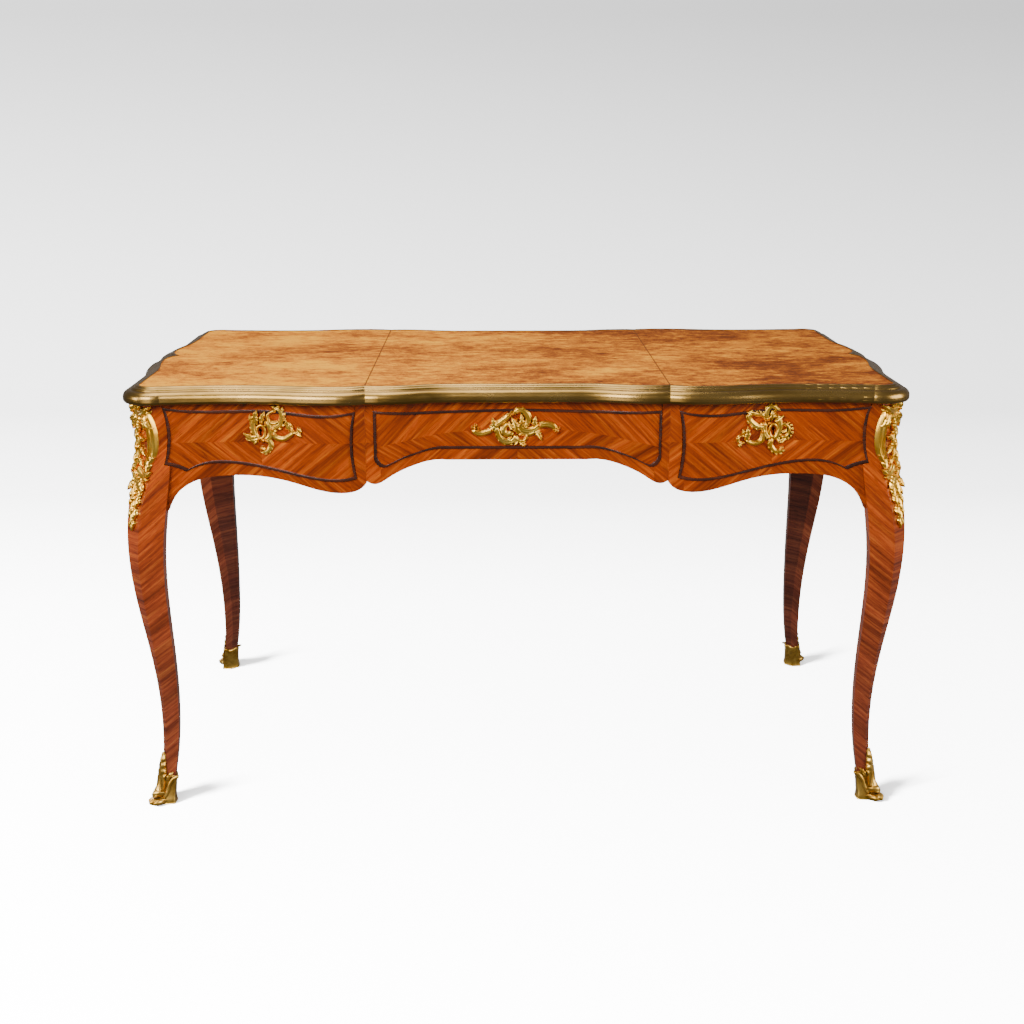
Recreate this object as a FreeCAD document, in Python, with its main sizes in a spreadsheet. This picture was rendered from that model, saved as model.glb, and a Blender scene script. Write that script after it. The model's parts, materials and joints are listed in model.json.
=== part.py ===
import FreeCAD, Part
import math
import os
from types import SimpleNamespace

# Bureau plat in the Louis XV manner: a serpentine leather top in a moulded brass edge, on a frieze
# of three drawers and four cabriole legs with gilt mounts.
# Millimetres, +Z up, front towards -Y, origin on the floor under the middle of the top.

V = FreeCAD.Vector
UP = V(0, 0, 1)
doc = FreeCAD.newDocument("bureau_plat")

# Driving dimensions
DRIVING = [
    ("overall_width", 1356, "brass edge, across the lobes of the ends"),
    ("overall_depth", 710, "brass edge, across the side lobes of front and back"),
    ("overall_height", 760, "floor to the lip of the brass edge"),
    ("edge_width", 28, "brass edge in plan, from the leather outwards"),
    ("edge_height", 28, "brass edge, lip to underside"),
    ("lip_rise", 1.5, "lip of the edge above the leather"),
    ("inner_bead", 6, "width of the bead next to the leather"),
    ("middle_bead", 6, "width of the second bead"),
    ("quirk", 1.2, "step beside each bead"),
    ("lip_crown", 2.2, "highest place of the lip, from the leather"),
    ("lip_radius", 6, "round of the lip"),
    ("middle_fall", 3.5, "how far the second bead falls outwards"),
    ("bead_crown", 1.1, "rise of the second bead above its chord"),
    ("ovolo_crown", 4.6, "rise of the big rounded face above its chord"),
    ("ovolo_return", 7, "height of the turn under the rounded face"),
    ("edge_undercut", 3, "how far the underside turns in"),
    ("board_tongue", 18, "board under the brass edge, from the leather outwards"),
    ("rebate_drop", 14, "top of the tongue below the lip"),
    ("leather_thickness", 2, "skiver on the board"),
    ("lobe_radius", 100, "plan lobes beside the front breaks"),
    ("side_lobe_x", 300, "crown of a side lobe from the middle"),
    ("centre_lobe_x", 232, "crown of a centre lobe from the middle"),
    ("centre_lobe_drop", 7, "centre lobe behind the side lobe"),
    ("centre_recess", 25, "middle of the front behind the side lobe"),
    ("centre_flat", 110, "half the straight stretch in the middle"),
    ("side_hollow_inset", 185, "deepest place of the side hollow inside the end lobe"),
    ("side_hollow", 17, "side hollow behind the side lobe"),
    ("side_sweep_radius", 1000, "plan sweep from the hollow to the corner"),
    ("corner_radius", 24, "leather corner in plan"),
    ("corner_inset_x", 38, "corner centre inside the end lobe"),
    ("corner_inset_y", 29, "corner centre inside the side lobe"),
    ("end_hollow", 14.5, "end hollow inside the end lobe"),
    ("end_hollow_y", 180, "where the end hollow starts, from the middle"),
    ("end_lobe_y", 45, "crown of an end lobe from the middle"),
    ("end_lobe_radius", 71, "plan lobe beside the middle of an end"),
    ("frieze_out", 9, "face of the front outside the leather line"),
    ("end_out", 13, "face of an end outside the leather line"),
    ("front_thickness", 24, "front at its thinnest, in the middle"),
    ("end_thickness", 22, "end apron at its thinnest"),
    ("centre_drop", 102, "frieze height over the knee arch"),
    ("arch_flat", 120, "half the level stretch of the knee arch"),
    ("inner_lobe_drop", 140, "frieze height at the lobe inside a break"),
    ("notch_drop", 136, "frieze height at the notch of a break"),
    ("side_lobe_drop", 153.5, "frieze height at the lobe outside a break"),
    ("side_arch_drop", 126, "frieze height over a side arch"),
    ("end_belly_drop", 143, "frieze height in the middle of an end"),
    ("knee_sweep", 80, "fall of the arch into the leg"),
    ("inner_lobe_run", 14, "lobe inside a break, from its notch"),
    ("side_lobe_run", 32, "lobe outside a break, from its notch"),
    ("lobe_round", 6, "lobe outside a break, rise at a third of its run"),
    ("arch_to_leg", 90, "crown of a side arch, from the leg"),
    ("rail_height", 20.5, "rail under a side drawer"),
    ("centre_rail_height", 20, "rail under the centre drawer"),
    ("rail_joint", 10, "side rail meets the stile past the drawer edge"),
    ("rail_horn", 1, "rise of the side rail at the leg"),
    ("tail_run", 14, "thin tail of a side rail, from the face of the leg inwards"),
    ("tail_height", 36, "thin tail of a side rail above its end"),
    ("tail_swell", 11, "swell of the leg beside the tail, forward of the frieze"),
    ("lobe_to_drawer", 28, "side drawer starts inside the side lobe"),
    ("drawer_end_margin", 55, "side drawer ends inside the end face"),
    ("centre_past_lobe", 10, "centre drawer ends past the centre lobe"),
    ("panel_hollow", 6, "hollow of a drawer's upright edges"),
    ("panel_cusp", 12, "cusp of the drawer's lower edge near the leg"),
    ("cusp_inset", 33, "cusp inside the outer edge of the drawer"),
    ("cusp_run", 27, "cusp to the level stretch of the lower edge"),
    ("panel_heel", 2, "lower outer corner of the drawer past its edge"),
    ("panel_toe", 4, "lower inner corner of the drawer above its belly"),
    ("belly_inset", 24, "belly of the drawer inside its inner edge"),
    ("ear_width", 30, "lower corner of the centre drawer"),
    ("ear_inset", 13, "lowest place of that corner inside the edge"),
    ("ear_height", 22, "lower corner of the centre drawer"),
    ("bead_width", 4.2, "cock bead on a drawer front"),
    ("bead_proud", 2.5, "cock bead above the face"),
    ("bead_drop", 13.5, "top bead below the underside of the top"),
    ("bead_wave", 6, "wave of the top bead"),
    ("drawer_gap", 0.8, "clearance round a drawer front"),
    ("drawer_top_gap", 1, "clearance over a drawer front"),
    ("box_inset", 8, "drawer box inside the edge of its front"),
    ("box_side", 9, "thickness of a drawer side"),
    ("box_back", 8, "thickness of a drawer back"),
    ("box_bottom", 6, "thickness of a drawer bottom"),
    ("box_top_gap", 8, "drawer side below the top"),
    ("bottom_rise", 6, "drawer bottom above the lower edge of the sides"),
    ("groove_depth", 4, "groove for the drawer bottom"),
    ("box_clear", 1.5, "drawer box above its rail"),
    ("drawer_length", 480, "drawer box, front to back"),
    ("run_gap", 0.3, "drawer box above and beside its runners"),
    ("ledge_width", 14, "runner under a drawer side"),
    ("ledge_height", 12, "runner ledge"),
    ("guide_height", 20, "runner guide above the ledge"),
    ("guide_width", 12, "guide of an outer runner"),
    ("partition_thickness", 18, "board between two drawers"),
    ("partition_height", 121, "board between two drawers"),
    ("lock_width", 56, "lock case"),
    ("lock_depth", 14, "lock case let into the front"),
    ("lock_height", 64, "lock case"),
    ("bolt_width", 24, "lock bolt"),
    ("bolt_depth", 7, "lock bolt"),
    ("bolt_length", 28, "lock bolt"),
    ("bolt_throw", 7, "travel of the bolt"),
    ("bolt_gap", 0.3, "clearance round the bolt"),
    ("mortise_gap", 1.5, "clearance round the bolt in the top"),
    ("keyhole_drop", 47.5, "keyhole below the underside of the top"),
    ("keyhole_radius", 3, "round of the keyhole"),
    ("keyhole_slot", 9, "slot of the keyhole below its round"),
    ("keyhole_slot_width", 3, "slot of the keyhole"),
    ("mount_thickness", 9, "gilt mount on a drawer"),
    ("leg_top_width", 63.5, "leg at the frieze, each way"),
    ("leg_proud", 0.3, "leg forward of the frieze"),
    ("cant_width", 36, "canted corner at the top of a leg"),
    ("leg_edge", 25, "thickness of a leg at its inner edges"),
    ("chute_length", 220, "corner mount"),
    ("chute_bed", 4, "corner mount behind the cant, cut away by the leg"),
    ("sole_thickness", 6, "sabot under the leg"),
    ("sabot_wall", 4, "sabot round the leg"),
    ("sabot_height", 50, "sabot at the flanks"),
    ("sabot_leaf", 92, "leaf of the sabot on the corner"),
    ("toe_radius", 15, "scrolled toe of the sabot"),
    ("toe_reach", 7, "middle of the toe from the corner of the leg"),
]
DERIVED = [
    ("frieze_top", "overall_height - edge_height", "underside of the top"),
    ("lobe_x", "overall_width / 2 - edge_width", "leather at an end lobe"),
    ("lobe_y", "overall_depth / 2 - edge_width", "leather at a side lobe"),
    ("side_hollow_x", "lobe_x - side_hollow_inset", "deepest place of the side hollow"),
    ("end_face_x", "lobe_x - end_hollow + end_out", "face of the end near the leg"),
    ("front_back_y", "lobe_y - centre_recess + frieze_out - front_thickness", "flat back of the front"),
    ("end_back_x", "end_face_x - end_thickness", "flat back of an end apron"),
    ("board_lift", "edge_height - rebate_drop", "thickness of the tongue"),
    ("board_field", "rebate_drop - lip_rise - leather_thickness", "board above its tongue"),
    ("drawer_inner", "side_lobe_x - lobe_to_drawer", "side drawer, inner edge"),
    ("drawer_outer", "end_face_x - drawer_end_margin", "side drawer, outer edge"),
    ("drawer_centre", "(drawer_inner + drawer_outer) / 2", "side drawer, middle"),
    ("centre_half", "centre_lobe_x + centre_past_lobe", "centre drawer, half its width"),
    ("partition_x", "(drawer_inner + centre_half) / 2", "middle of a partition"),
    ("side_box_low", "frieze_top - side_arch_drop + rail_height + box_clear", "side drawer box"),
    ("centre_box_low", "frieze_top - centre_drop + centre_rail_height + box_clear", "centre drawer box"),
    ("front_reach", "side_arch_drop + 0.75 * knee_sweep", "blocks that the frieze is cut from"),
    ("side_rail_top", "side_arch_drop - rail_height - rail_horn", "rail at the leg, below the top"),
]

sheet = doc.addObject("Spreadsheet::Sheet", "dims")
for row, (alias, content, note) in enumerate(DRIVING + DERIVED, start=1):
    formula = "=" + content if isinstance(content, str) else str(content)
    sheet.set(f"A{row}", note)
    sheet.set(f"B{row}", formula)
    sheet.setAlias(f"B{row}", alias)
doc.recompute()
size = SimpleNamespace(**{alias: float(sheet.get(alias)) for alias, content, note in DRIVING + DERIVED})

FRONT = V(0, -1, 0)
BACK = V(0, 1, 0)
RIGHT = V(1, 0, 0)
PLAN = FreeCAD.Rotation()
ELEVATION = FreeCAD.Rotation(V(1, 0, 0), 90)
END_ELEVATION = FreeCAD.Rotation(V(1, 1, 1), 120)


# Document helpers

def flat(point):
    """A pair or vector as a point of a drawing."""
    return V(point[0], point[1], 0)


def line(start, end):
    return Part.LineSegment(flat(start), flat(end))


def arc(start, middle, end):
    return Part.Arc(flat(start), flat(middle), flat(end))


def curve(points):
    """Smooth curve through a few points."""
    spline = Part.BSplineCurve()
    spline.interpolate([flat(point) for point in points])
    return spline


def closed_curve(points):
    spline = Part.BSplineCurve()
    spline.interpolate(Points=[flat(point) for point in points], PeriodicFlag=True)
    return spline


def drawing(name, geometry, rotation=PLAN):
    sketch = doc.addObject("Sketcher::SketchObject", name + "_drawing")
    sketch.addGeometry(geometry)
    sketch.Placement = FreeCAD.Placement(V(), rotation)
    return sketch


def prism(name, sketch, direction, length, base_z=None):
    """Extrude a drawing; length and base height are expressions on the sheet."""
    solid = doc.addObject("Part::Extrusion", name)
    solid.Base = sketch
    solid.DirMode = "Custom"
    solid.Dir = direction
    solid.Solid = True
    solid.setExpression("LengthFwd", length)
    if base_z:
        sketch.setExpression(".Placement.Base.z", base_z)
    return solid


def box(name, corner, lengths):
    """Box whose corner and lengths are expressions on the sheet."""
    solid = doc.addObject("Part::Box", name)
    for axis, place in zip("xyz", corner):
        solid.setExpression(f".Placement.Base.{axis}", place)
    for side, length in zip(("Length", "Width", "Height"), lengths):
        solid.setExpression(side, length)
    return solid


def common(name, base, tool):
    solid = doc.addObject("Part::Common", name)
    solid.Base = base
    solid.Tool = tool
    return solid


def cut(name, base, *tools):
    """Base less each tool in turn."""
    for index, tool in enumerate(tools):
        last = index == len(tools) - 1
        solid = doc.addObject("Part::Cut", name if last else f"{name}_cut_{index}")
        solid.Base = base
        solid.Tool = tool
        base = solid
    return base


def mirror(name, source, normal):
    solid = doc.addObject("Part::Mirroring", name)
    solid.Source = source
    solid.Normal = normal
    return solid


def group(name, members):
    gathered = doc.addObject("Part::Compound", name)
    gathered.Links = members
    return gathered


def feature(name, shape):
    solid = doc.addObject("Part::Feature", name)
    solid.Shape = shape
    solid.Placement = FreeCAD.Placement()
    return solid


PIECES = []


def piece(label, solid):
    """Name a finished sub-part."""
    solid.Label = label
    PIECES.append(solid)
    return solid


# Plan of the top: arcs that swell to a lobe beside each break, drawn for the quarter x > 0, y > 0

def circles_meet(centre_a, radius_a, centre_b, radius_b, side):
    """Where two circles cross, to the left (+1) or right (-1) of the way from a to b."""
    way = centre_b - centre_a
    along = (way.Length ** 2 + radius_a ** 2 - radius_b ** 2) / (2 * way.Length)
    across = math.sqrt(radius_a ** 2 - along ** 2)
    unit = V(way).normalize()
    return centre_a + unit * along + V(-unit.y, unit.x, 0) * (side * across)


def s_radius(run, rise):
    """Radius of the two equal arcs of an S that is level at both ends."""
    return (run ** 2 + rise ** 2) / (4 * rise)


def quarter_plan(out):
    """Stretches of the outline moved out from the leather line: centre, start, end, and sense,
    which is 1 for a lobe, -1 for a hollow and 0 for a straight stretch."""
    s = size
    centre_y = s.lobe_y - s.centre_recess
    centre_lobe_y = s.lobe_y - s.centre_lobe_drop
    hollow_y = s.lobe_y - s.side_hollow
    hollow_x = s.lobe_x - s.end_hollow
    centre_s = s_radius(s.centre_lobe_x - s.centre_flat, centre_lobe_y - centre_y)
    side_s = s_radius(s.side_hollow_x - s.side_lobe_x, s.side_hollow)
    end_s = s_radius(s.end_hollow_y - s.end_lobe_y, s.end_hollow)

    centre_dip = V(s.centre_flat, centre_y + centre_s)
    centre_swell = V(s.centre_lobe_x, centre_lobe_y - centre_s)
    centre_lobe = V(s.centre_lobe_x, centre_lobe_y - s.lobe_radius)
    side_lobe = V(s.side_lobe_x, s.lobe_y - s.lobe_radius)
    side_swell = V(s.side_lobe_x, s.lobe_y - side_s)
    side_dip = V(s.side_hollow_x, hollow_y + side_s)
    side_sweep = V(s.side_hollow_x, hollow_y + s.side_sweep_radius)
    corner = V(s.lobe_x - s.corner_inset_x, s.lobe_y - s.corner_inset_y)
    end_dip = V(hollow_x + end_s, s.end_hollow_y)
    end_swell = V(s.lobe_x - end_s, s.end_lobe_y)
    end_lobe = V(s.lobe_x - s.end_lobe_radius, s.end_lobe_y)

    def turn(dip, swell):
        return dip + (swell - dip).normalize() * ((swell - dip).Length / 2 - out)

    lobe = s.lobe_radius + out
    nose = s.corner_radius + out
    corner_rise = math.sqrt(nose ** 2 - (hollow_x + out - corner.x) ** 2)
    end_rise = math.sqrt((s.end_lobe_radius + out) ** 2 - s.end_lobe_y ** 2)
    joints = [
        V(0, centre_y + out),
        V(s.centre_flat, centre_y + out),
        turn(centre_dip, centre_swell),
        V(s.centre_lobe_x, centre_lobe_y + out),
        circles_meet(centre_lobe, lobe, side_lobe, lobe, 1),
        V(s.side_lobe_x, s.lobe_y + out),
        turn(side_dip, side_swell),
        V(s.side_hollow_x, hollow_y + out),
        circles_meet(corner, nose, side_sweep, s.side_sweep_radius - out, 1),
        V(hollow_x + out, corner.y - corner_rise),
        V(hollow_x + out, s.end_hollow_y),
        turn(end_dip, end_swell),
        V(s.lobe_x + out, s.end_lobe_y),
        V(end_lobe.x + end_rise, 0),
    ]
    bends = [(None, 0), (centre_dip, -1), (centre_swell, 1), (centre_lobe, 1), (side_lobe, 1),
             (side_swell, 1), (side_dip, -1), (side_sweep, -1), (corner, 1), (None, 0),
             (end_dip, -1), (end_swell, 1), (end_lobe, 1)]
    return [SimpleNamespace(centre=centre, sense=sense, start=start, end=end)
            for (centre, sense), start, end in zip(bends, joints, joints[1:])]


CENTRE = slice(0, 4)
SIDE = slice(4, 8)
CORNER = slice(8, 9)
HALF_END = slice(9, 13)
QUARTERS = [(1, -1), (1, 1), (-1, 1), (-1, -1)]


def plan_edges(out, stretches, quarters):
    """Edges of some stretches of the outline, in each of the named quarters."""
    edges = []
    for x_sign, y_sign in quarters:
        def place(point):
            return (point.x * x_sign, point.y * y_sign)
        for bend in quarter_plan(out)[stretches]:
            if bend.sense == 0:
                edges.append(line(place(bend.start), place(bend.end)))
                continue
            radius = (bend.start - bend.centre).Length
            chord = (bend.start + bend.end) / 2 - bend.centre
            middle = bend.centre + chord.normalize() * radius
            edges.append(arc(place(bend.start), place(middle), place(bend.end)))
    return edges


def joint_at(out, index):
    return quarter_plan(out)[index].end


# Top board: a field under the leather, and a tongue that carries the brass edge

def top_board():
    body = doc.addObject("PartDesign::Body", "top_board_body")
    floor = next(plane for plane in body.Origin.OriginFeatures if plane.Role == "XY_Plane")

    def layer(name, geometry, height):
        sketch = body.newObject("Sketcher::SketchObject", name)
        sketch.AttachmentSupport = [(floor, "")]
        sketch.MapMode = "FlatFace"
        sketch.setExpression(".AttachmentOffset.Base.z", height)
        sketch.addGeometry(geometry)
        return sketch

    def pad(name, sketch, length):
        slab = body.newObject("PartDesign::Pad", name)
        slab.Profile = sketch
        slab.setExpression("Length", length)
        return slab

    whole = slice(0, 13)
    tongue = layer("tongue_plan", plan_edges(size.board_tongue, whole, QUARTERS), "dims.frieze_top")
    pad("tongue", tongue, "dims.board_lift")
    field = layer("field_plan", plan_edges(0, whole, QUARTERS), "dims.frieze_top + dims.board_lift")
    pad("field", field, "dims.board_field")
    doc.recompute()

    # A mortise over each lock takes its bolt
    half_width = size.bolt_width / 2 + size.mortise_gap
    half_depth = size.bolt_depth / 2 + size.mortise_gap
    lock_y = -size.front_back_y - size.lock_depth / 2
    mortises = []
    for middle in (-size.drawer_centre, 0, size.drawer_centre):
        left, right = middle - half_width, middle + half_width
        front, back = lock_y - half_depth, lock_y + half_depth
        corners = [(left, front), (right, front), (right, back), (left, back)]
        mortises += [line(a, b) for a, b in zip(corners, corners[1:] + corners[:1])]
    holes = layer("mortise_plan", mortises, "dims.frieze_top")
    pocket = body.newObject("PartDesign::Pocket", "mortises")
    pocket.Profile = holes
    pocket.Reversed = True
    pocket.setExpression("Length", "dims.bolt_throw + dims.mortise_gap")
    return piece("top_board", body)


board = top_board()


# Leather in three panels, seamed at the breaks

def leather_panels():
    seam = joint_at(0, 3)
    base = "dims.frieze_top + dims.board_lift + dims.board_field"
    ends = [line((x, seam.y), (x, -seam.y)) for x in (seam.x, -seam.x)]
    shapes = {
        "leather_centre": plan_edges(0, CENTRE, QUARTERS) + ends,
        "leather_right": plan_edges(0, slice(4, 13), QUARTERS[:2]) + ends[:1],
        "leather_left": plan_edges(0, slice(4, 13), QUARTERS[2:]) + ends[1:],
    }
    for name, geometry in shapes.items():
        panel = prism(name + "_panel", drawing(name, geometry), UP, "dims.leather_thickness", base)
        piece(name, panel)


leather_panels()


# Brass edge: one section turned round each bend of the outline, mitred where bends meet at an angle

def bulge(start, end, crown):
    """Middle of a shallow arc that stands out from its chord."""
    chord = end - start
    return (start + end) / 2 + V(-chord.y, chord.x).normalize() * crown


def edge_section(place):
    """Section of the edge; place maps (out from the leather, up from the lip) to a point."""
    s = size

    def on_lip(out):
        return V(out, math.sqrt(s.lip_radius ** 2 - (out - s.lip_crown) ** 2) - s.lip_radius)

    lip = on_lip(0)
    bead_end = on_lip(s.inner_bead)
    step = bead_end + V(s.quirk, -s.quirk)
    second_end = step + V(s.middle_bead, -s.middle_fall)
    groove = second_end + V(s.quirk, -s.quirk)
    nose = V(s.edge_width, s.ovolo_return - s.edge_height)
    heel = V(s.edge_width - s.edge_undercut, -s.edge_height)
    corners = [heel, V(s.board_tongue, -s.edge_height), V(s.board_tongue, -s.rebate_drop),
               V(0, -s.rebate_drop), lip]
    rounds = [(lip, on_lip(s.lip_crown), bead_end)]
    for start, end, crown in ((step, second_end, s.bead_crown), (groove, nose, s.ovolo_crown),
                              (nose, heel, s.bead_crown)):
        rounds.append((start, bulge(start, end, crown), end))
    straights = [(bead_end, step), (second_end, groove)] + list(zip(corners, corners[1:]))
    edges = [Part.Arc(*[place(point) for point in points]).toShape() for points in rounds]
    edges += [Part.LineSegment(place(a), place(b)).toShape() for a, b in straights]
    return Part.Face(Part.Wire(Part.__sortEdges__(edges)))


OVERRUN_ANGLE = 14
OVERRUN_LENGTH = 30
MITRE_REACH = 400


def edge_bend(bend, overrun_start, overrun_end):
    """Solid of one stretch, run past a mitred end for the cut."""
    lip_z = size.overall_height
    if bend.sense == 0:
        way = (bend.end - bend.start).normalize()
        across = V(-way.y, way.x)
        start = bend.start - way * (OVERRUN_LENGTH * overrun_start)
        length = (bend.end - start).Length
        section = edge_section(lambda p: start + across * p.x + UP * (lip_z + p.y))
        return section.extrude(way * length)
    radius = (bend.start - bend.centre).Length
    first = math.atan2(bend.start.y - bend.centre.y, bend.start.x - bend.centre.x)
    last = math.atan2(bend.end.y - bend.centre.y, bend.end.x - bend.centre.x)
    sweep = (math.degrees(last - first) + 180) % 360 - 180
    past = math.copysign(OVERRUN_ANGLE, sweep) * min(1, 4 * size.edge_width / radius)
    first = math.degrees(first) - past * overrun_start
    sweep += past * (overrun_start + overrun_end)
    section = edge_section(lambda p: V(radius + bend.sense * p.x, 0, lip_z + p.y))
    section.rotate(V(), UP, first)
    section.translate(bend.centre)
    return section.revolve(bend.centre, UP, sweep)


def mitre_block(index, keep_before):
    """Block beyond the mitre after a stretch, on the side that is cut away."""
    inner, outer = joint_at(0, index), joint_at(size.edge_width, index)
    way = (outer - inner).normalize()
    beyond = V(way.y, -way.x) if keep_before else V(-way.y, way.x)
    ends = [inner - way * MITRE_REACH, inner + way * MITRE_REACH]
    corners = [ends[0], ends[1], ends[1] + beyond * MITRE_REACH, ends[0] + beyond * MITRE_REACH]
    face = Part.Face(Part.makePolygon(corners + corners[:1]))
    return face.extrude(UP * (size.overall_height * 2))


def edge_length(stretches, mitre_start, mitre_end):
    """One casting of the edge, from mitre to mitre."""
    bends = quarter_plan(0)[stretches]
    solids = []
    for index, bend in enumerate(bends):
        first = mitre_start and index == 0
        last = mitre_end and index == len(bends) - 1
        solids.append(edge_bend(bend, first, last))
    shape = solids[0].multiFuse(solids[1:]) if len(solids) > 1 else solids[0]
    if mitre_start:
        shape = shape.cut(mitre_block(stretches.start - 1, False))
    if mitre_end:
        shape = shape.cut(mitre_block(stretches.stop - 1, True))
    return shape.Solids[0]


def brass_edge():
    half = edge_length(CENTRE, False, True)
    middle = half.fuse(half.mirror(V(), RIGHT)).removeSplitter().Solids[0]
    half_end = edge_length(HALF_END, True, True)
    corner_set = [edge_length(SIDE, True, True), edge_length(CORNER, True, True), half_end]
    back_right = feature("edge_set", Part.makeCompound(corner_set))
    back = feature("edge_middle", middle)
    piece("edge_back", back)
    piece("edge_front", mirror("edge_front_mirror", back, BACK))
    piece("edge_back_right", back_right)
    piece("edge_back_left", mirror("edge_back_left_mirror", back_right, RIGHT))
    front_right = mirror("edge_front_right_mirror", back_right, BACK)
    piece("edge_front_right", front_right)
    piece("edge_front_left", mirror("edge_front_left_mirror", front_right, RIGHT))


brass_edge()


# Elevation of the front: lower edge of the frieze, and the outlines of the drawers, for x > 0

def level(drop):
    """Height of a place below the underside of the top."""
    return size.frieze_top - drop


# Points of the freehand curves: shares of the run and the fall of the knee arch, and places past the
# inner face of a leg with their shares of the fall into it, for the front and for an end
KNEE_ARCH = [(0.4, 0.12), (0.8, 0.68)]
FRONT_KNEE = [(-40, 0.1), (-8, 0.36), (5, 0.6), (13, 0.9)]
END_KNEE = [(-30, 0.075), (-4, 0.36), (8, 0.6), (15, 0.9)]


def knee(face, points):
    """Points of the sweep from a side arch into the leg whose inner face is named."""
    return [(face + past, level(size.side_arch_drop + size.knee_sweep * share)) for past, share in points]


def frieze_edge(x_sign):
    """Lower edge of the front from the middle to the leg: level arch, lobe, notch, lobe, side arch."""
    s = size
    notch_x = joint_at(s.frieze_out, 3).x
    leg_x = s.end_face_x - s.leg_top_width
    inner_x = notch_x - s.inner_lobe_run
    lobe_x = notch_x + s.side_lobe_run
    arch_x = leg_x - s.arch_to_leg
    lobe_rise = s.side_lobe_drop - s.side_arch_drop
    arch_rise = s.inner_lobe_drop - s.centre_drop
    inner = [(s.arch_flat, level(s.centre_drop))]
    inner += [(s.arch_flat + (inner_x - s.arch_flat) * run, level(s.centre_drop + arch_rise * fall))
              for run, fall in KNEE_ARCH]
    inner += [(inner_x, level(s.inner_lobe_drop)), (notch_x, level(s.notch_drop))]
    outer = [(notch_x, level(s.notch_drop)),
             (notch_x + s.side_lobe_run / 3, level(s.side_lobe_drop - s.lobe_round)),
             (lobe_x, level(s.side_lobe_drop)),
             (lobe_x + (arch_x - lobe_x) * 0.45, level(s.side_arch_drop + lobe_rise * 0.4)),
             (arch_x, level(s.side_arch_drop))]
    outer += knee(leg_x, FRONT_KNEE)
    return [[(x * x_sign, z) for x, z in points] for points in (inner, outer)]


def region_below():
    """Drawing of all that lies under the frieze, from leg to leg."""
    s = size
    low = level(s.front_reach + s.rail_height)
    geometry = [line((-s.arch_flat, level(s.centre_drop)), (s.arch_flat, level(s.centre_drop)))]
    for x_sign in (1, -1):
        inner, outer = frieze_edge(x_sign)
        geometry += [curve(inner), curve(outer), line(outer[-1], (outer[-1][0], low))]
    reach = frieze_edge(1)[1][-1][0]
    return geometry + [line((-reach, low), (reach, low))]


def side_panel(grow, top):
    """Outline of the right drawer, grown by a clearance; top is a height, or None for the bead."""
    s = size
    outer, inner = s.drawer_outer + grow, s.drawer_inner - grow
    mid_z = level(s.side_arch_drop / 2)
    arch = level(s.side_arch_drop - s.rail_height) - grow
    belly = level(s.side_lobe_drop - s.rail_height) - grow
    run = outer - inner
    heel = (outer + s.panel_heel, arch + s.rail_horn)
    cusp = (outer - s.cusp_inset, arch - s.panel_cusp)
    toe = (inner, belly + s.panel_toe)
    level_z = arch - s.rail_horn
    geometry = [curve([heel, (outer - s.cusp_inset / 2, arch - s.panel_cusp / 3), cusp]),
                curve([cusp, (cusp[0] - s.cusp_run, level_z), (inner + run * 0.6, level_z),
                       (inner + run * 0.24, belly + s.panel_toe), (inner + s.belly_inset, belly), toe])]
    bead_z = level(s.bead_drop) + grow
    outer_top = (outer, bead_z + s.bead_wave)
    inner_top = (inner, bead_z)
    geometry.append(arc(outer_top, (outer - s.panel_hollow, mid_z), heel))
    geometry.append(arc(inner_top, (inner + s.panel_hollow, mid_z), toe))
    if top is None:
        wave = [inner_top, (inner + run * 0.17, bead_z - s.bead_wave), (inner + run * 0.42, bead_z),
                (inner + run * 0.8, bead_z), outer_top]
        return geometry + [curve(wave)]
    corners = [inner_top, (inner, top), (outer, top), outer_top]
    return geometry + [line(a, b) for a, b in zip(corners, corners[1:])]


def centre_panel(grow, top):
    """Outline of the centre drawer, as for the side drawer."""
    s = size
    half = s.centre_half + grow
    arch = level(s.centre_drop - s.centre_rail_height) - grow
    corner = level(s.inner_lobe_drop - s.centre_rail_height * 1.5) - grow
    fall = arch - corner
    flat_half = s.arch_flat + grow
    run = half - flat_half
    bead_z = level(s.bead_drop) + grow
    geometry = [line((-flat_half, arch), (flat_half, arch))]
    for x_sign in (1, -1):
        def at(x, z):
            return (x * x_sign, z)
        geometry.append(curve([at(flat_half, arch), at(flat_half + run * 0.42, arch - fall * 0.25),
                               at(half - s.ear_width, corner + fall * 0.2), at(half - s.ear_inset, corner),
                               at(half - s.ear_inset / 4, corner + s.ear_height / 3),
                               at(half, corner + s.ear_height)]))
        top_z = bead_z if top is None else top
        geometry.append(line(at(half, corner + s.ear_height), at(half, top_z)))
    if top is None:
        dip = bead_z - s.bead_wave / 2
        wave = [(-half, bead_z), (-half * 0.68, dip), (0, bead_z), (half * 0.68, dip), (half, bead_z)]
        return geometry + [curve(wave)]
    return geometry + [line((-half, top), (half, top))]


# Blocks that the frieze is sawn from: their faces follow the plan of the top

REACH = "dims.overall_depth"


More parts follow.
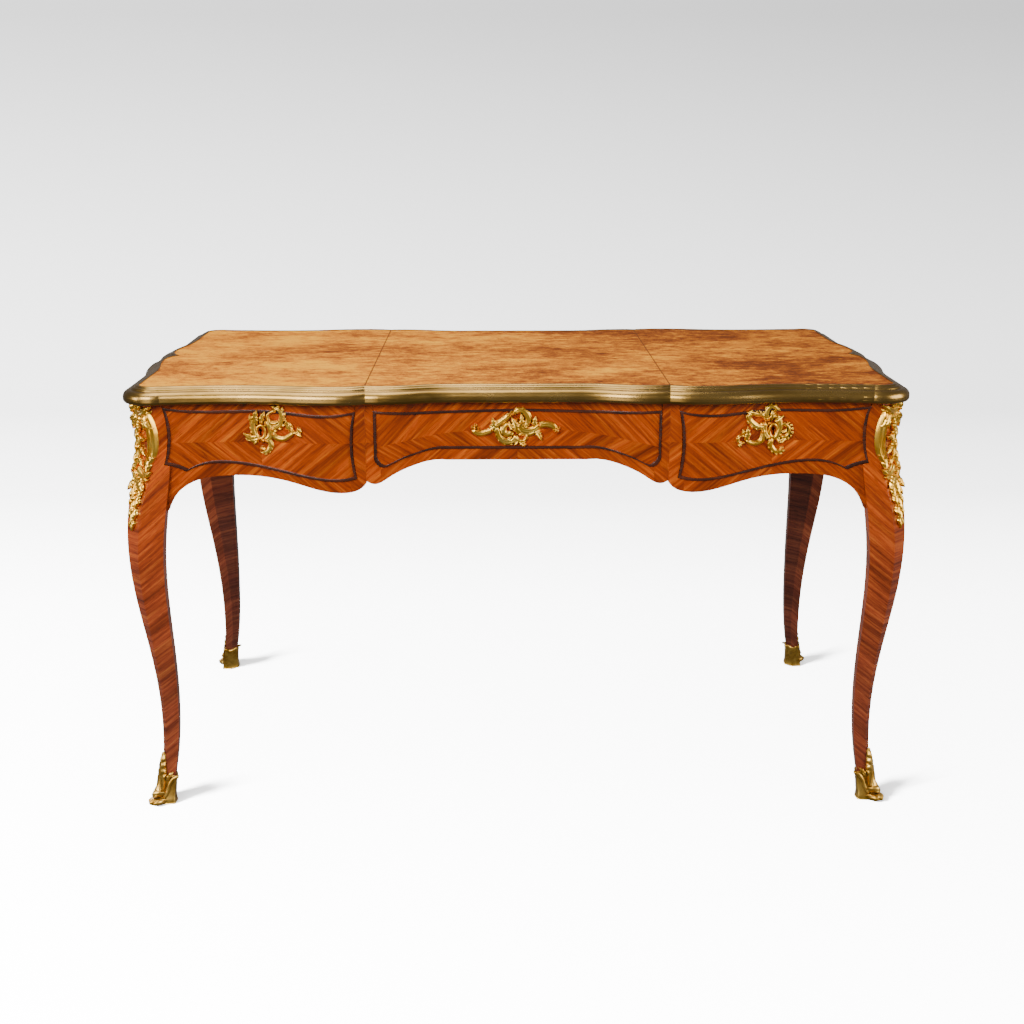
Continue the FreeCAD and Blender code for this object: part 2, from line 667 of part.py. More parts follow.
def frieze_blocks():
    """Front, proud band for beads, and thicker band for mounts, for the front and the right end."""
    s = size
    face = s.frieze_out
    height = "dims.front_reach"
    base = "dims.frieze_top - dims.front_reach"

    def front_band(name, inner_edges, out):
        corner = joint_at(out, 7)
        geometry = plan_edges(out, slice(0, 8), [(1, -1), (-1, -1)]) + inner_edges(corner)
        return prism(name, drawing(name, geometry), UP, height, base)

    def flat_back(corner):
        back = -s.front_back_y
        points = [(corner.x, -corner.y), (corner.x, back), (-corner.x, back), (-corner.x, -corner.y)]
        return [line(a, b) for a, b in zip(points, points[1:])]

    def on_face(corner):
        inner = joint_at(face, 7)
        links = [line((x * inner.x, -inner.y), (x * corner.x, -corner.y)) for x in (1, -1)]
        return links + plan_edges(face, slice(0, 8), [(1, -1), (-1, -1)])

    def end_band(name, out, plain_back):
        corner = joint_at(out, 8)
        geometry = plan_edges(out, HALF_END, [(1, -1), (1, 1)])
        inner = joint_at(s.end_out, 8)
        back_x = s.end_back_x if plain_back else inner.x
        back_y = corner.y if plain_back else inner.y
        geometry += [line((corner.x, y * corner.y), (back_x, y * back_y)) for y in (1, -1)]
        if plain_back:
            geometry.append(line((back_x, back_y), (back_x, -back_y)))
        else:
            geometry += plan_edges(s.end_out, HALF_END, [(1, -1), (1, 1)])
        return prism(name, drawing(name, geometry), UP, height, base)

    return SimpleNamespace(
        front=front_band("front_block", flat_back, face),
        bead=front_band("bead_band", on_face, face + s.bead_proud),
        mount=front_band("mount_band", on_face, face + s.mount_thickness),
        end=end_band("end_block", s.end_out, True),
        end_bead=end_band("end_bead_band", s.end_out + s.bead_proud, False))


blocks = frieze_blocks()


def elevation_prism(name, geometry):
    return prism(name, drawing(name, geometry, ELEVATION), FRONT, REACH)


# Legs: a six-sided section lofted up a cabriole curve, with a canted outer corner

LEG_STATIONS = [
    # share of the height, end face and front face from the frieze, width, cant, inner edge
    (0.0, -2.5, 5.3, 25, 5, 15),
    (0.09, -11, -6, 25.2, 5, 15),
    (0.25, -12.5, -10, 33, 7, 17),
    (0.41, 0.3, 0, 44.9, 11, 19),
    (0.53, 14.4, 10, 56.4, 17, 22),
    (0.65, 21.8, 13, 65.6, 22, 24),
    (0.77, 15.5, 9, 70, 30, 25),
    (0.86, 3, 2, 66, 36, 25),
    (0.93, 0, 0, 63.5, 36, 25),
    (1.0, 0, 0, 63.5, 36, 25),
]
TOP_WIDTH, TOP_CANT, TOP_EDGE = LEG_STATIONS[-1][3:]


def leg_section(height, wall=0):
    """Corners of the leg at a height, grown by a wall: cant, front face, edge, inside, edge, end face."""
    s = size
    span = s.frieze_top - s.sole_thickness
    share = min(max((height - s.sole_thickness) / span, 0), 1)
    pairs = zip(LEG_STATIONS, LEG_STATIONS[1:])
    low, high = next((a, b) for a, b in pairs if share <= b[0])
    mix = (share - low[0]) / (high[0] - low[0])
    end_out, front_out, width, cant, edge = [a + (b - a) * mix for a, b in zip(low[1:], high[1:])]
    width *= s.leg_top_width / TOP_WIDTH
    cant *= s.cant_width / TOP_CANT
    edge *= s.leg_edge / TOP_EDGE
    x = s.end_face_x + s.leg_proud + end_out + wall
    y = joint_at(s.frieze_out, 7).y + s.leg_proud + front_out + wall
    width += wall * 2
    edge += wall * 2
    cant += wall * 0.6
    return [V(x, y - cant, height), V(x - cant, y, height), V(x - width, y, height),
            V(x - width, y - edge, height), V(x - edge, y - width, height), V(x, y - width, height)]


def loft(rings):
    wires = [Part.makePolygon(ring + ring[:1]) for ring in rings]
    return Part.makeLoft(wires, True, False)


def leg_shape():
    span = size.frieze_top - size.sole_thickness
    return loft([leg_section(size.sole_thickness + share * span) for share, *rest in LEG_STATIONS])


def on_cant(height, half_width, proud, bed):
    """Ring across the canted corner, from behind its face to proud of it."""
    corners = leg_section(height)
    middle = (corners[0] + corners[1]) / 2
    out = V(1, 1, 0).normalize()
    along = V(-1, 1, 0).normalize()
    return [middle + along * half_width + out * proud, middle - along * half_width + out * proud,
            middle - along * half_width - out * bed, middle + along * half_width - out * bed]


CHUTE_STATIONS = [
    # share of the length, half width, thickness
    (0.0, 27, 9), (0.12, 29, 11), (0.25, 21, 8), (0.5, 21, 8),
    (0.62, 23, 9), (0.72, 17, 9), (0.86, 10, 8), (1.0, 2.5, 4),
]


def chute_shape(leg):
    top = size.frieze_top - size.drawer_top_gap
    rings = [on_cant(top - share * size.chute_length, half, proud, size.chute_bed)
             for share, half, proud in CHUTE_STATIONS]
    return loft(rings).cut(leg).Solids[0]


SABOT_LEAF = [(-0.2, 9), (0.36, 9), (1.0, 2)]  # share of the way up the leaf, half width


def sabot_shape(leg):
    s = size
    rise = s.sabot_leaf - s.sabot_height
    radius = s.toe_radius
    heights = [0, s.sabot_height / 2, s.sabot_height]
    shell = loft([[V(p.x, p.y, z) for p in leg_section(z, s.sabot_wall)] for z in heights])
    leaf = loft([on_cant(s.sabot_height + rise * share, half, s.sabot_wall, s.sabot_wall)
                 for share, half in SABOT_LEAF])
    corners = leg_section(s.sole_thickness)
    toe_at = (corners[0] + corners[1]) / 2 + V(1, 1, 0).normalize() * s.toe_reach
    toe_at.z = radius * 0.7
    toe = Part.makeSphere(radius, toe_at)
    floor = Part.makeBox(2 * radius, 2 * radius, radius, V(toe_at.x - radius, toe_at.y - radius, -radius))
    return shell.fuse(leaf).fuse(toe.cut(floor)).cut(leg).Solids[0]


def leg_set():
    """Four legs, each with its chute and sabot, mirrored from the back right one."""
    leg = leg_shape()
    sources = {"leg": feature("leg_solid", leg), "chute": feature("chute_solid", chute_shape(leg)),
               "sabot": feature("sabot_solid", sabot_shape(leg))}
    placed = {}
    for kind, source in sources.items():
        placed[kind, "back_right"] = source
        placed[kind, "back_left"] = mirror(f"{kind}_back_left_mirror", source, RIGHT)
        front = mirror(f"{kind}_front_right_mirror", source, BACK)
        placed[kind, "front_right"] = front
        placed[kind, "front_left"] = mirror(f"{kind}_front_left_mirror", front, RIGHT)
    return placed


corner_pieces = leg_set()


# Frieze: rails, stiles, aprons and drawer fronts, all sawn from the same blocks

OPENING_TOP = size.frieze_top + size.edge_height


def frieze_pieces():
    s = size
    below = elevation_prism("below_frieze", region_below())
    right_opening = elevation_prism("right_opening", side_panel(s.drawer_gap, OPENING_TOP))
    centre_opening = elevation_prism("centre_opening", centre_panel(s.drawer_gap, OPENING_TOP))
    left_opening = mirror("left_opening", right_opening, RIGHT)

    # The outlines of the drawers also trim the legs, so that the hollow edges clear them
    openings = {"front_right": right_opening, "front_left": left_opening,
                "back_right": mirror("back_right_opening", right_opening, BACK),
                "back_left": mirror("back_left_opening", left_opening, BACK)}
    legs = {place: piece(f"leg_{place}", cut(f"leg_{place}_trimmed", corner_pieces["leg", place], opening))
            for place, opening in openings.items()}

    frame = cut("front_frame", blocks.front, below, right_opening, centre_opening, left_opening)
    low = "dims.frieze_top - dims.front_reach"
    joint = "(dims.drawer_inner + dims.rail_joint)"
    stile_in = "(dims.centre_half - dims.rail_joint)"
    deep = ("-dims.overall_depth", low)
    side_height = "dims.front_reach - dims.side_rail_top"
    side_cell = box("side_cell", (joint, *deep), ("dims.overall_width", REACH, side_height))
    stile_cell = box("stile_cell", (stile_in, *deep), (f"{joint} - {stile_in}", REACH, "dims.front_reach"))
    centre_cell = box("centre_cell", ("-" + stile_in, *deep), (f"2 * {stile_in}", REACH, "dims.front_reach"))
    # The tails that sweep into the legs are no thicker than the inner edges of the legs
    tail_y = joint_at(s.frieze_out, 7).y + s.tail_swell - s.leg_edge
    relief = box("tail_relief", ("dims.end_face_x - dims.leg_top_width - dims.tail_run", f"-{tail_y}", low),
                 ("dims.leg_top_width", "dims.overall_depth / 4", "dims.tail_height"))
    back_relief = mirror("back_tail_relief", relief, BACK)
    side_rail = cut("side_rail", common("side_rail_block", frame, side_cell), legs["front_right"], relief)
    stile = common("stile_solid", frame, stile_cell)
    piece("front_rail_right", side_rail)
    piece("front_rail_left", mirror("side_rail_mirror", side_rail, RIGHT))
    piece("front_rail_centre", common("centre_rail", frame, centre_cell))
    piece("stile_right", stile)
    piece("stile_left", mirror("stile_mirror", stile, RIGHT))

    for kind in ("chute", "sabot"):
        for place in ("front_left", "front_right", "back_left", "back_right"):
            piece(f"{kind}_{place}", corner_pieces[kind, place])

    # Back apron, in one board, and end aprons between the legs
    back_board = cut("back_board", mirror("back_block", blocks.front, BACK),
                     mirror("below_back", below, BACK), legs["back_left"], legs["back_right"],
                     back_relief, mirror("back_left_tail_relief", back_relief, RIGHT))
    piece("back_apron", back_board)
    end_apron = cut("end_apron", blocks.end, end_below(), legs["front_right"], legs["back_right"])
    piece("end_apron_right", end_apron)
    piece("end_apron_left", mirror("end_apron_mirror", end_apron, RIGHT))


def end_below():
    """All that lies under an end apron: a belly in the middle, arches into the legs."""
    s = size
    leg_y = joint_at(s.frieze_out, 7).y - s.leg_top_width
    low = level(s.front_reach + s.rail_height)
    belly_rise = s.end_belly_drop - s.side_arch_drop
    half = [(0, level(s.end_belly_drop)), (leg_y * 0.22, level(s.end_belly_drop - belly_rise * 0.24)),
            (leg_y * 0.62, level(s.side_arch_drop))]
    half += knee(leg_y, END_KNEE)
    mirrored = [(-y, z) for y, z in half]
    reach = half[-1][0]
    geometry = [curve(half), curve(mirrored), line(half[-1], (reach, low)),
                line(mirrored[-1], (-reach, low)), line((-reach, low), (reach, low))]
    return prism("below_end", drawing("below_end", geometry, END_ELEVATION), RIGHT, "dims.overall_width")


frieze_pieces()


# Drawers: serpentine front with bead and mount, a box behind it, and a lock

SIDE_MOUNT = [(-70, 2), (-66, -9), (-52, -15), (-36, -16), (-22, -13), (-13, -24), (-7, -37), (3, -37),
              (9, -27), (15, -15), (25, -20), (28, -9), (18, 1), (14, 14), (20, 25), (11, 35), (-5, 34),
              (-12, 24), (-17, 10), (-30, -2), (-46, -5), (-53, 7), (-63, 11)]
CENTRE_MOUNT = [(-72, 2), (-60, -5), (-44, -7), (-30, -20), (-12, -26), (4, -29), (20, -24), (34, -16),
                (48, -12), (60, -9), (72, -3), (70, 6), (54, 7), (40, 14), (28, 10), (20, 24), (4, 31),
                (-10, 28), (-18, 15), (-30, 6), (-42, 14), (-50, 6), (-62, 6)]
CENTRE_MOUNT_LIFT = -1


def keyhole(name, middle):
    """Round and slot through the front, as a prism that reaches into the lock."""
    s = size
    z = level(s.keyhole_drop)
    half = s.keyhole_slot_width / 2
    top = z - math.sqrt(s.keyhole_radius ** 2 - half ** 2)
    foot = z - s.keyhole_slot
    round_part = arc((middle - half, top), (middle, z + s.keyhole_radius), (middle + half, top))
    corners = [(middle - half, top), (middle - half, foot), (middle + half, foot), (middle + half, top)]
    geometry = [round_part] + [line(a, b) for a, b in zip(corners, corners[1:])]
    hole = prism(name, drawing(name, geometry, ELEVATION), FRONT, REACH)
    hole.Base.setExpression(".Placement.Base.y", "-dims.front_back_y - dims.lock_depth / 2")
    return hole


def drawer(name, outline, middle, left, right, box_low, mount_points, mount_lift):
    """Pieces of a drawer; left, right, middle and box_low are expressions on the sheet."""
    s = size
    middle_x = s.drawer_centre if middle != "0" else 0
    hole = keyhole(f"{name}_keyhole", middle_x)
    top = "(dims.frieze_top - dims.drawer_top_gap)"
    back_y = "(-dims.front_back_y)"
    case_z = f"{top} - dims.lock_height"
    case_x = f"{middle} - dims.lock_width / 2"
    case_sizes = ("dims.lock_width", "dims.lock_depth", "dims.lock_height")
    case = box(f"{name}_case", (case_x, f"{back_y} - dims.lock_depth", case_z), case_sizes)

    front = common(f"{name}_front_block", blocks.front,
                   elevation_prism(f"{name}_panel", outline(0, s.frieze_top - s.drawer_top_gap)))
    parts = {"front": cut(f"{name}_front", front, case, hole)}

    # Cock bead round the panel
    ring = outline(0, None) + outline(-s.bead_width, None)
    bead = common(f"{name}_bead", blocks.bead, elevation_prism(f"{name}_bead_ring", ring))
    parts["bead"] = bead

    # Gilt mount, bedded on the face and fitted over the bead
    mount_z = level(s.keyhole_drop) + mount_lift
    points = [(middle_x + x, mount_z + z) for x, z in mount_points]
    plate = common(f"{name}_mount_plate", blocks.mount,
                   elevation_prism(f"{name}_mount_outline", [closed_curve(points)]))
    parts["mount"] = cut(f"{name}_mount", plate, bead, hole)

    # Lock case with a slot for its bolt
    slot_x = f"{middle} - dims.bolt_width / 2 - dims.bolt_gap"
    slot_y = f"{back_y} - dims.lock_depth / 2 - dims.bolt_depth / 2 - dims.bolt_gap"
    slot_sizes = ("dims.bolt_width + 2 * dims.bolt_gap", "dims.bolt_depth + 2 * dims.bolt_gap",
                  "dims.bolt_length + dims.bolt_gap * 2")
    slot = box(f"{name}_slot", (slot_x, slot_y, f"{top} - dims.bolt_length - dims.bolt_gap"), slot_sizes)
    parts["lock"] = cut(f"{name}_lock", case, slot, hole)
    bolt_x = f"{middle} - dims.bolt_width / 2"
    bolt_y = f"{back_y} - dims.lock_depth / 2 - dims.bolt_depth / 2"
    bolt_sizes = ("dims.bolt_width", "dims.bolt_depth", "dims.bolt_length")
    parts["bolt"] = box(f"{name}_bolt", (bolt_x, bolt_y, f"{top} - dims.bolt_length"), bolt_sizes)

    # Box: grooved sides, a bottom in the grooves, and a back standing on the bottom
    box_left, box_right = f"({left} + dims.box_inset)", f"({right} - dims.box_inset)"
    side_height = f"dims.frieze_top - dims.box_top_gap - {box_low}"
    bottom_z = f"{box_low} + dims.bottom_rise"
    inner_left = f"({box_left} + dims.box_side)"
    inner_right = f"({box_right} - dims.box_side)"
    bottom_x = f"{inner_left} - dims.groove_depth"
    bottom_sizes = (f"{inner_right} - {inner_left} + 2 * dims.groove_depth", "dims.drawer_length",
                    "dims.box_bottom")
    bottom = box(f"{name}_bottom", (bottom_x, back_y, bottom_z), bottom_sizes)
    parts["bottom"] = bottom
    sides = []
    for place, x in (("left", box_left), ("right", inner_right)):
        board_sizes = ("dims.box_side", "dims.drawer_length", side_height)
        plain = box(f"{name}_side_{place}", (x, back_y, box_low), board_sizes)
        sides.append(cut(f"{name}_side_{place}_grooved", plain, bottom))
    parts["sides"] = group(f"{name}_sides", sides)
    back_z = f"{bottom_z} + dims.box_bottom"
    back_height = f"{side_height} - dims.bottom_rise - 2 * dims.box_bottom"
    back_sizes = (f"{inner_right} - {inner_left}", "dims.box_back", back_height)
    back_at = (inner_left, f"{back_y} + dims.drawer_length - dims.box_back", back_z)
    parts["back"] = box(f"{name}_back", back_at, back_sizes)
    return parts


def strip(name, start, end, low, height):
    """Strip of wood from the front to the back, between two places across."""
    lengths = (f"{end} - {start}", "2 * dims.front_back_y", height)
    return box(name, (start, "-dims.front_back_y", low), lengths)


def drawer_runners():
    """Under each box side a ledge, and beside it a guide."""
    wall_in = "(dims.partition_x - dims.partition_thickness / 2)"
    wall_out = "(dims.partition_x + dims.partition_thickness / 2)"
    side_in = "(dims.drawer_inner + dims.box_inset)"
    side_out = "(dims.drawer_outer - dims.box_inset)"
    centre_out = "(dims.centre_half - dims.box_inset)"
    guide_out = f"({side_out} + dims.guide_width)"
    strips = []
    for name, box_low, ledge, guide in (
            ("inner", "dims.side_box_low", (wall_out, f"({side_in} + dims.ledge_width)"),
             (wall_out, f"({side_in} - dims.run_gap)")),
            ("outer", "dims.side_box_low", (f"({side_out} - dims.ledge_width)", guide_out),
             (f"({side_out} + dims.run_gap)", guide_out)),
            ("centre", "dims.centre_box_low", (f"({centre_out} - dims.ledge_width)", wall_in),
             (f"({centre_out} + dims.run_gap)", wall_in))):
        top = f"({box_low} - dims.run_gap)"
        strips.append(strip(f"{name}_ledge", *ledge, f"{top} - dims.ledge_height", "dims.ledge_height"))
        strips.append(strip(f"{name}_guide", *guide, top, "dims.guide_height"))
    return strips + [mirror(solid.Name + "_mirror", solid, RIGHT) for solid in strips]


def drawers():
    right = drawer("right_drawer", side_panel, "dims.drawer_centre", "dims.drawer_inner",
                   "dims.drawer_outer", "dims.side_box_low", SIDE_MOUNT, 0)
    centre = drawer("centre_drawer", centre_panel, "0", "(-dims.centre_half)", "dims.centre_half",
                    "dims.centre_box_low", CENTRE_MOUNT, CENTRE_MOUNT_LIFT)
    for kind, solid in right.items():
        piece(f"right_drawer_{kind}", solid)
        piece(f"left_drawer_{kind}", mirror(f"left_drawer_{kind}_mirror", solid, RIGHT))
    for kind, solid in centre.items():
        piece(f"centre_drawer_{kind}", solid)

    # Sham drawers on the back carry the same beads and mounts
    for kind in ("bead", "mount"):
        side = mirror(f"back_{kind}_right", right[kind], BACK)
        shams = [side, mirror(f"back_{kind}_left", side, RIGHT),
                 mirror(f"back_{kind}_centre", centre[kind], BACK)]
        piece(f"back_{kind}s", group(f"back_{kind}_group", shams))

    # Partitions and runners
    wall_x = "dims.partition_x - dims.partition_thickness / 2"
    wall_z = "dims.frieze_top - dims.partition_height"
    wall_sizes = ("dims.partition_thickness", "2 * dims.front_back_y", "dims.partition_height")
    wall = box("partition", (wall_x, "-dims.front_back_y", wall_z), wall_sizes)
    piece("partition_right", wall)
    piece("partition_left", mirror("partition_mirror", wall, RIGHT))
    piece("drawer_runners", group("runner_group", drawer_runners()))


drawers()


# Bead panels on the two ends

def end_beads():
    s = size
    leg_y = joint_at(s.frieze_out, 7).y - s.leg_top_width
    half = leg_y - s.bead_drop

    def ring(inset):
        top, low = level(s.bead_drop + inset), level(s.side_arch_drop - s.rail_height - inset)
        belly = level(s.end_belly_drop - s.rail_height - inset)
        reach = half - inset
        lower = [(-reach, low), (-reach * 0.6, low), (0, belly), (reach * 0.6, low), (reach, low)]
        return [line((-reach, top), (reach, top)), line((-reach, top), (-reach, low)),
                line((reach, top), (reach, low)), curve(lower)]

    rings = drawing("end_bead", ring(0) + ring(s.bead_width), END_ELEVATION)
    right = common("end_bead", blocks.end_bead, prism("end_bead_ring", rings, RIGHT, "dims.overall_width"))
    piece("end_beads", group("end_bead_group", [right, mirror("end_bead_mirror", right, RIGHT)]))


end_beads()


# Check every object, then write each sub-part

def write_parts():
    doc.recompute()
    for item in doc.Objects:
        if "Invalid" in item.State or "Error" in item.State:
            raise RuntimeError(f"{item.Name} failed: {item.State}")
    for solid in PIECES:
        shape = solid.Shape
        if shape.isNull() or not shape.isValid() or not shape.Solids:
            raise RuntimeError(f"{solid.Label} has no valid shape")
    os.makedirs("parts", exist_ok=True)
    for solid in PIECES:
        solid.Shape.exportStep(f"parts/{solid.Label}.step")
        bounds = solid.Shape.BoundBox
        print(f"{solid.Label}: {len(solid.Shape.Solids)} solid(s), {solid.Shape.Volume / 1000:.1f} cm3, "
              f"z {bounds.ZMin:.1f} to {bounds.ZMax:.1f}")


write_parts()
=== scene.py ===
# %% [markdown]
# # A bureau plat, dressed for the camera
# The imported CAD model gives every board, leg and drawer its place. This lesson keeps those solids where
# they are, gives them the finishes of the real table, and puts cast and chased ornaments in the place of
# the plain plates that stand for them in the CAD.

# %% Load the frame
import json
import math
import bpy
import numpy as np
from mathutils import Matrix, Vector
from mathutils.bvhtree import BVHTree

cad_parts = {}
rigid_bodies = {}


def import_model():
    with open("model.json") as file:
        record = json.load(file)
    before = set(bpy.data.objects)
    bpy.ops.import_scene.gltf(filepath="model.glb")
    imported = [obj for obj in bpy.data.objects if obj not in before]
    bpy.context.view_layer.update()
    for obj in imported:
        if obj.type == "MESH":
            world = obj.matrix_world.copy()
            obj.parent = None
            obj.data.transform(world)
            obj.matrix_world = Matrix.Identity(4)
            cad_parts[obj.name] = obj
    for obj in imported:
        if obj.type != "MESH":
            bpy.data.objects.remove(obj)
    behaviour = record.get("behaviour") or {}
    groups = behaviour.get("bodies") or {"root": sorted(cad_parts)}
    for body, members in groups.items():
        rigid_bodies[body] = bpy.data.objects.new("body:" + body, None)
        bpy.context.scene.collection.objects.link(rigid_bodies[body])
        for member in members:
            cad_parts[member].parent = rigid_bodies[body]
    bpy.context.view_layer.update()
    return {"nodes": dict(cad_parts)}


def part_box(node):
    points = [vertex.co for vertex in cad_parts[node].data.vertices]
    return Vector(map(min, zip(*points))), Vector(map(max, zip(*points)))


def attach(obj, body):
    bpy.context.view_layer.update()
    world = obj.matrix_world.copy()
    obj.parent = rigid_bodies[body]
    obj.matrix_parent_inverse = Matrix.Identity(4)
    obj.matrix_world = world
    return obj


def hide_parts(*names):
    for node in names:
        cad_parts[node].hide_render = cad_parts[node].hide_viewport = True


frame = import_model()
nodes = frame["nodes"]
MM = 0.001

# %% [markdown]
# ## Colours and nodes
# Colours are easiest to read as the hex values of a screen, but shader sockets take linear light, so one
# function converts them. Node trees are long to write out by hand, so one more function adds a node, sets
# it up and links its sockets. Two short ones start a material and put it on CAD nodes.

# %% Helpers for all finishes
def linear(code):
    """Linear red, green, blue and alpha of an sRGB hex colour."""
    shares = [int(code[i:i + 2], 16) / 255 for i in (1, 3, 5)]
    return [s / 12.92 if s <= 0.04045 else ((s + 0.055) / 1.055) ** 2.4 for s in shares] + [1.0]


def add(tree, kind, feeds=None, stops=None, **settings):
    """Add a shader node, set it up, feed its sockets, and give back its outputs."""
    node = tree.nodes.new("ShaderNode" + kind)
    for name, value in settings.items():
        setattr(node, name, value)
    if stops:
        ramp = node.color_ramp.elements
        while len(ramp) < len(stops):
            ramp.new(1.0)
        for element, (place, code) in zip(ramp, stops):
            element.position = place
            element.color = linear(code)
    for socket, value in (feeds or {}).items():
        if isinstance(value, bpy.types.NodeSocket):
            tree.links.new(value, node.inputs[socket])
        else:
            node.inputs[socket].default_value = value
    return node.outputs


def blank(name):
    """New material with an empty node tree."""
    material = bpy.data.materials.new(name)
    material.use_nodes = True
    material.node_tree.nodes.clear()
    return material, material.node_tree


def dress(material, *names):
    """Give a finish to CAD nodes."""
    for name in names:
        slots = nodes[name].data.materials
        slots.clear()
        slots.append(material)


CORNERS = ("front_left", "front_right", "back_left", "back_right")
DRAWERS = ("left", "centre", "right")
print("helpers ready")

# %% [markdown]
# ## Quartered tulipwood veneer
# The faces are covered with thin sheets of tulipwood, sawn so that the figure runs in straight orange and
# brown stripes. Each drawer has four sheets cut from one bundle and laid mirror-wise, so the stripes meet
# in diamonds at its middle. Folding the coordinates with an absolute value turns the stripes as the cabinet
# maker turns the sheets, and a shift for each quarter makes it a sheet of its own.

# %% Stripes of the veneer
STRIPE = 6 * MM         # width of a broad stripe
STRIPE_LENGTH = 26      # stripes run on for this many times their width
BAND = 4                # stripes in a band that is lighter or darker as a whole
SHEET_DEPTH = 0.02      # change of the figure through a sheet, against its change across
GRAIN_ANGLE = math.radians(40)
SHEET_SHIFT = (1.7, 0.9, 4.3)   # how far apart in the log the quarters were cut
TULIPWOOD = [(0.21, "#441501"), (0.39, "#732803"), (0.50, "#903604"), (0.61, "#A84906"), (0.80, "#CC7012")]
# Painted shade: the back legs take a darker, duller copy of the tulipwood tones
SHADED_BACK_LEG_TONES = [(0.22, "#471A0C"), (0.40, "#692810"), (0.50, "#7A3316"), (0.60, "#8C411D"),
                  (0.78, "#A65C30")]
SHADE_DEEPEST_BELOW, SHADE_ENDS_ABOVE = 0.20, 0.60     # painted shade: heights between which a leg is painted darker towards its foot
FOOT_SHADE_LIGHTNESS = 0.64        # painted shade: share of its lightness that a leg keeps at the foot
FOOT_SHADE_SATURATION = 0.93        # painted shade: share of its colour (saturation) that it keeps there


def striped_wood(tree, grain, tones, stripe, gloss, depth, painted_shade=None):
    """Polished wood whose stripes lie across the x of the grain vector and run along its z.

    Depth says how fast they change along y: hardly in a thin sheet, as fast as across in a board.
    """
    fibre = add(tree, "Mapping", {"Vector": grain, "Scale": (1, depth, 1 / STRIPE_LENGTH)})[0]
    figure = add(tree, "TexNoise", {"Vector": fibre, "Scale": 1 / stripe, "Detail": 7, "Roughness": 0.66,
                                    "Distortion": 0.25})[0]
    colour = add(tree, "ValToRGB", {"Fac": figure}, stops=tones)[0]
    band = add(tree, "TexNoise", {"Vector": fibre, "Scale": 1 / (BAND * stripe), "Detail": 1})[0]
    value = add(tree, "MapRange", {"Value": band, "From Min": 0.3, "From Max": 0.7, "To Min": 0.70,
                                   "To Max": 1.26})[0]
    # Painted shade on the legs: darker and duller towards the foot, where less light falls
    if painted_shade:
        value = add(tree, "Math", {0: value, 1: painted_shade}, operation="MULTIPLY")[0]
        dull = add(tree, "MapRange", {"Value": painted_shade, "From Min": FOOT_SHADE_LIGHTNESS, "To Min": FOOT_SHADE_SATURATION})[0]
        colour = add(tree, "HueSaturation", {"Color": colour, "Saturation": dull})[0]
    toned = add(tree, "HueSaturation", {"Color": colour, "Value": value})[0]
    pore = add(tree, "TexNoise", {"Vector": fibre, "Scale": 9 / stripe, "Detail": 1})[0]
    dash = add(tree, "MapRange", {"Value": pore, "From Min": 0.60, "From Max": 0.70, "To Max": 0.55})[0]
    pored = add(tree, "Mix", {"Factor": dash, "A": toned, "B": linear("#2A0D03")}, data_type="RGBA")[2]
    rough = add(tree, "MapRange", {"Value": figure, "To Min": gloss + 0.10, "To Max": gloss})[0]
    eased = add(tree, "Bevel", {"Radius": 0.7 * MM}, samples=4)[0]
    bump = add(tree, "Bump", {"Height": figure, "Strength": 0.06, "Distance": 0.2 * MM, "Normal": eased})[0]
    return pored, rough, bump


def veneer(name, centre, tones=TULIPWOOD, arch=0.0, wraps_corner_shaded_below=False):
    """Tulipwood sheets mirrored about a point; French polish gives a clear gloss over deep colour.

    Arch bends the level joint, and a sheet that wraps a corner is folded along its diagonal.
    Such a sheet also takes painted shade that deepens towards the floor.
    """
    material, tree = blank(name)
    place = add(tree, "TexCoord")["Object"]
    if arch:
        parts = add(tree, "SeparateXYZ", {0: place})
        square = add(tree, "Math", {0: parts[0], 1: parts[0]}, operation="MULTIPLY")[0]
        height = add(tree, "Math", {0: square, 1: arch, 2: parts[2]}, operation="MULTIPLY_ADD")[0]
        place = add(tree, "CombineXYZ", {0: parts[0], 1: parts[1], 2: height})[0]
    offset = add(tree, "VectorMath", {0: place, 1: centre}, operation="SUBTRACT")[0]
    folded = add(tree, "VectorMath", {0: offset}, operation="ABSOLUTE")[0]
    if wraps_corner_shaded_below:
        folded = add(tree, "Mapping", {"Vector": folded, "Rotation": (0, 0, -math.pi / 4),
                                       "Scale": (math.sqrt(2), math.sqrt(2), 1)})[0]
    turned = add(tree, "Mapping", {"Vector": folded, "Rotation": (0, math.pi / 2 - GRAIN_ANGLE, 0)})[0]
    quarter = add(tree, "VectorMath", {0: offset}, operation="SIGN")[0]
    shift = add(tree, "VectorMath", {0: quarter, 1: SHEET_SHIFT}, operation="DOT_PRODUCT")["Value"]
    grain = add(tree, "VectorMath", {0: turned, 1: add(tree, "CombineXYZ", {1: shift})[0]})[0]
    painted_shade = None
    # A sheet that wraps a corner also takes painted shade, darker towards the floor
    if wraps_corner_shaded_below:
        height = add(tree, "SeparateXYZ", {0: place})[2]
        painted_shade = add(tree, "MapRange", {"Value": height, "From Min": SHADE_DEEPEST_BELOW, "From Max": SHADE_ENDS_ABOVE,
                                      "To Min": FOOT_SHADE_LIGHTNESS})[0]
    colour, rough, bump = striped_wood(tree, grain, tones, STRIPE, 0.20, SHEET_DEPTH, painted_shade)
    shader = add(tree, "BsdfPrincipled", {"Base Color": colour, "Roughness": rough, "Normal": bump,
                                          "IOR": 1.5, "Specular IOR Level": 0.35, "Coat Weight": 0.12,
                                          "Coat Roughness": 0.12})
    add(tree, "OutputMaterial", {"Surface": shader[0]})
    return material


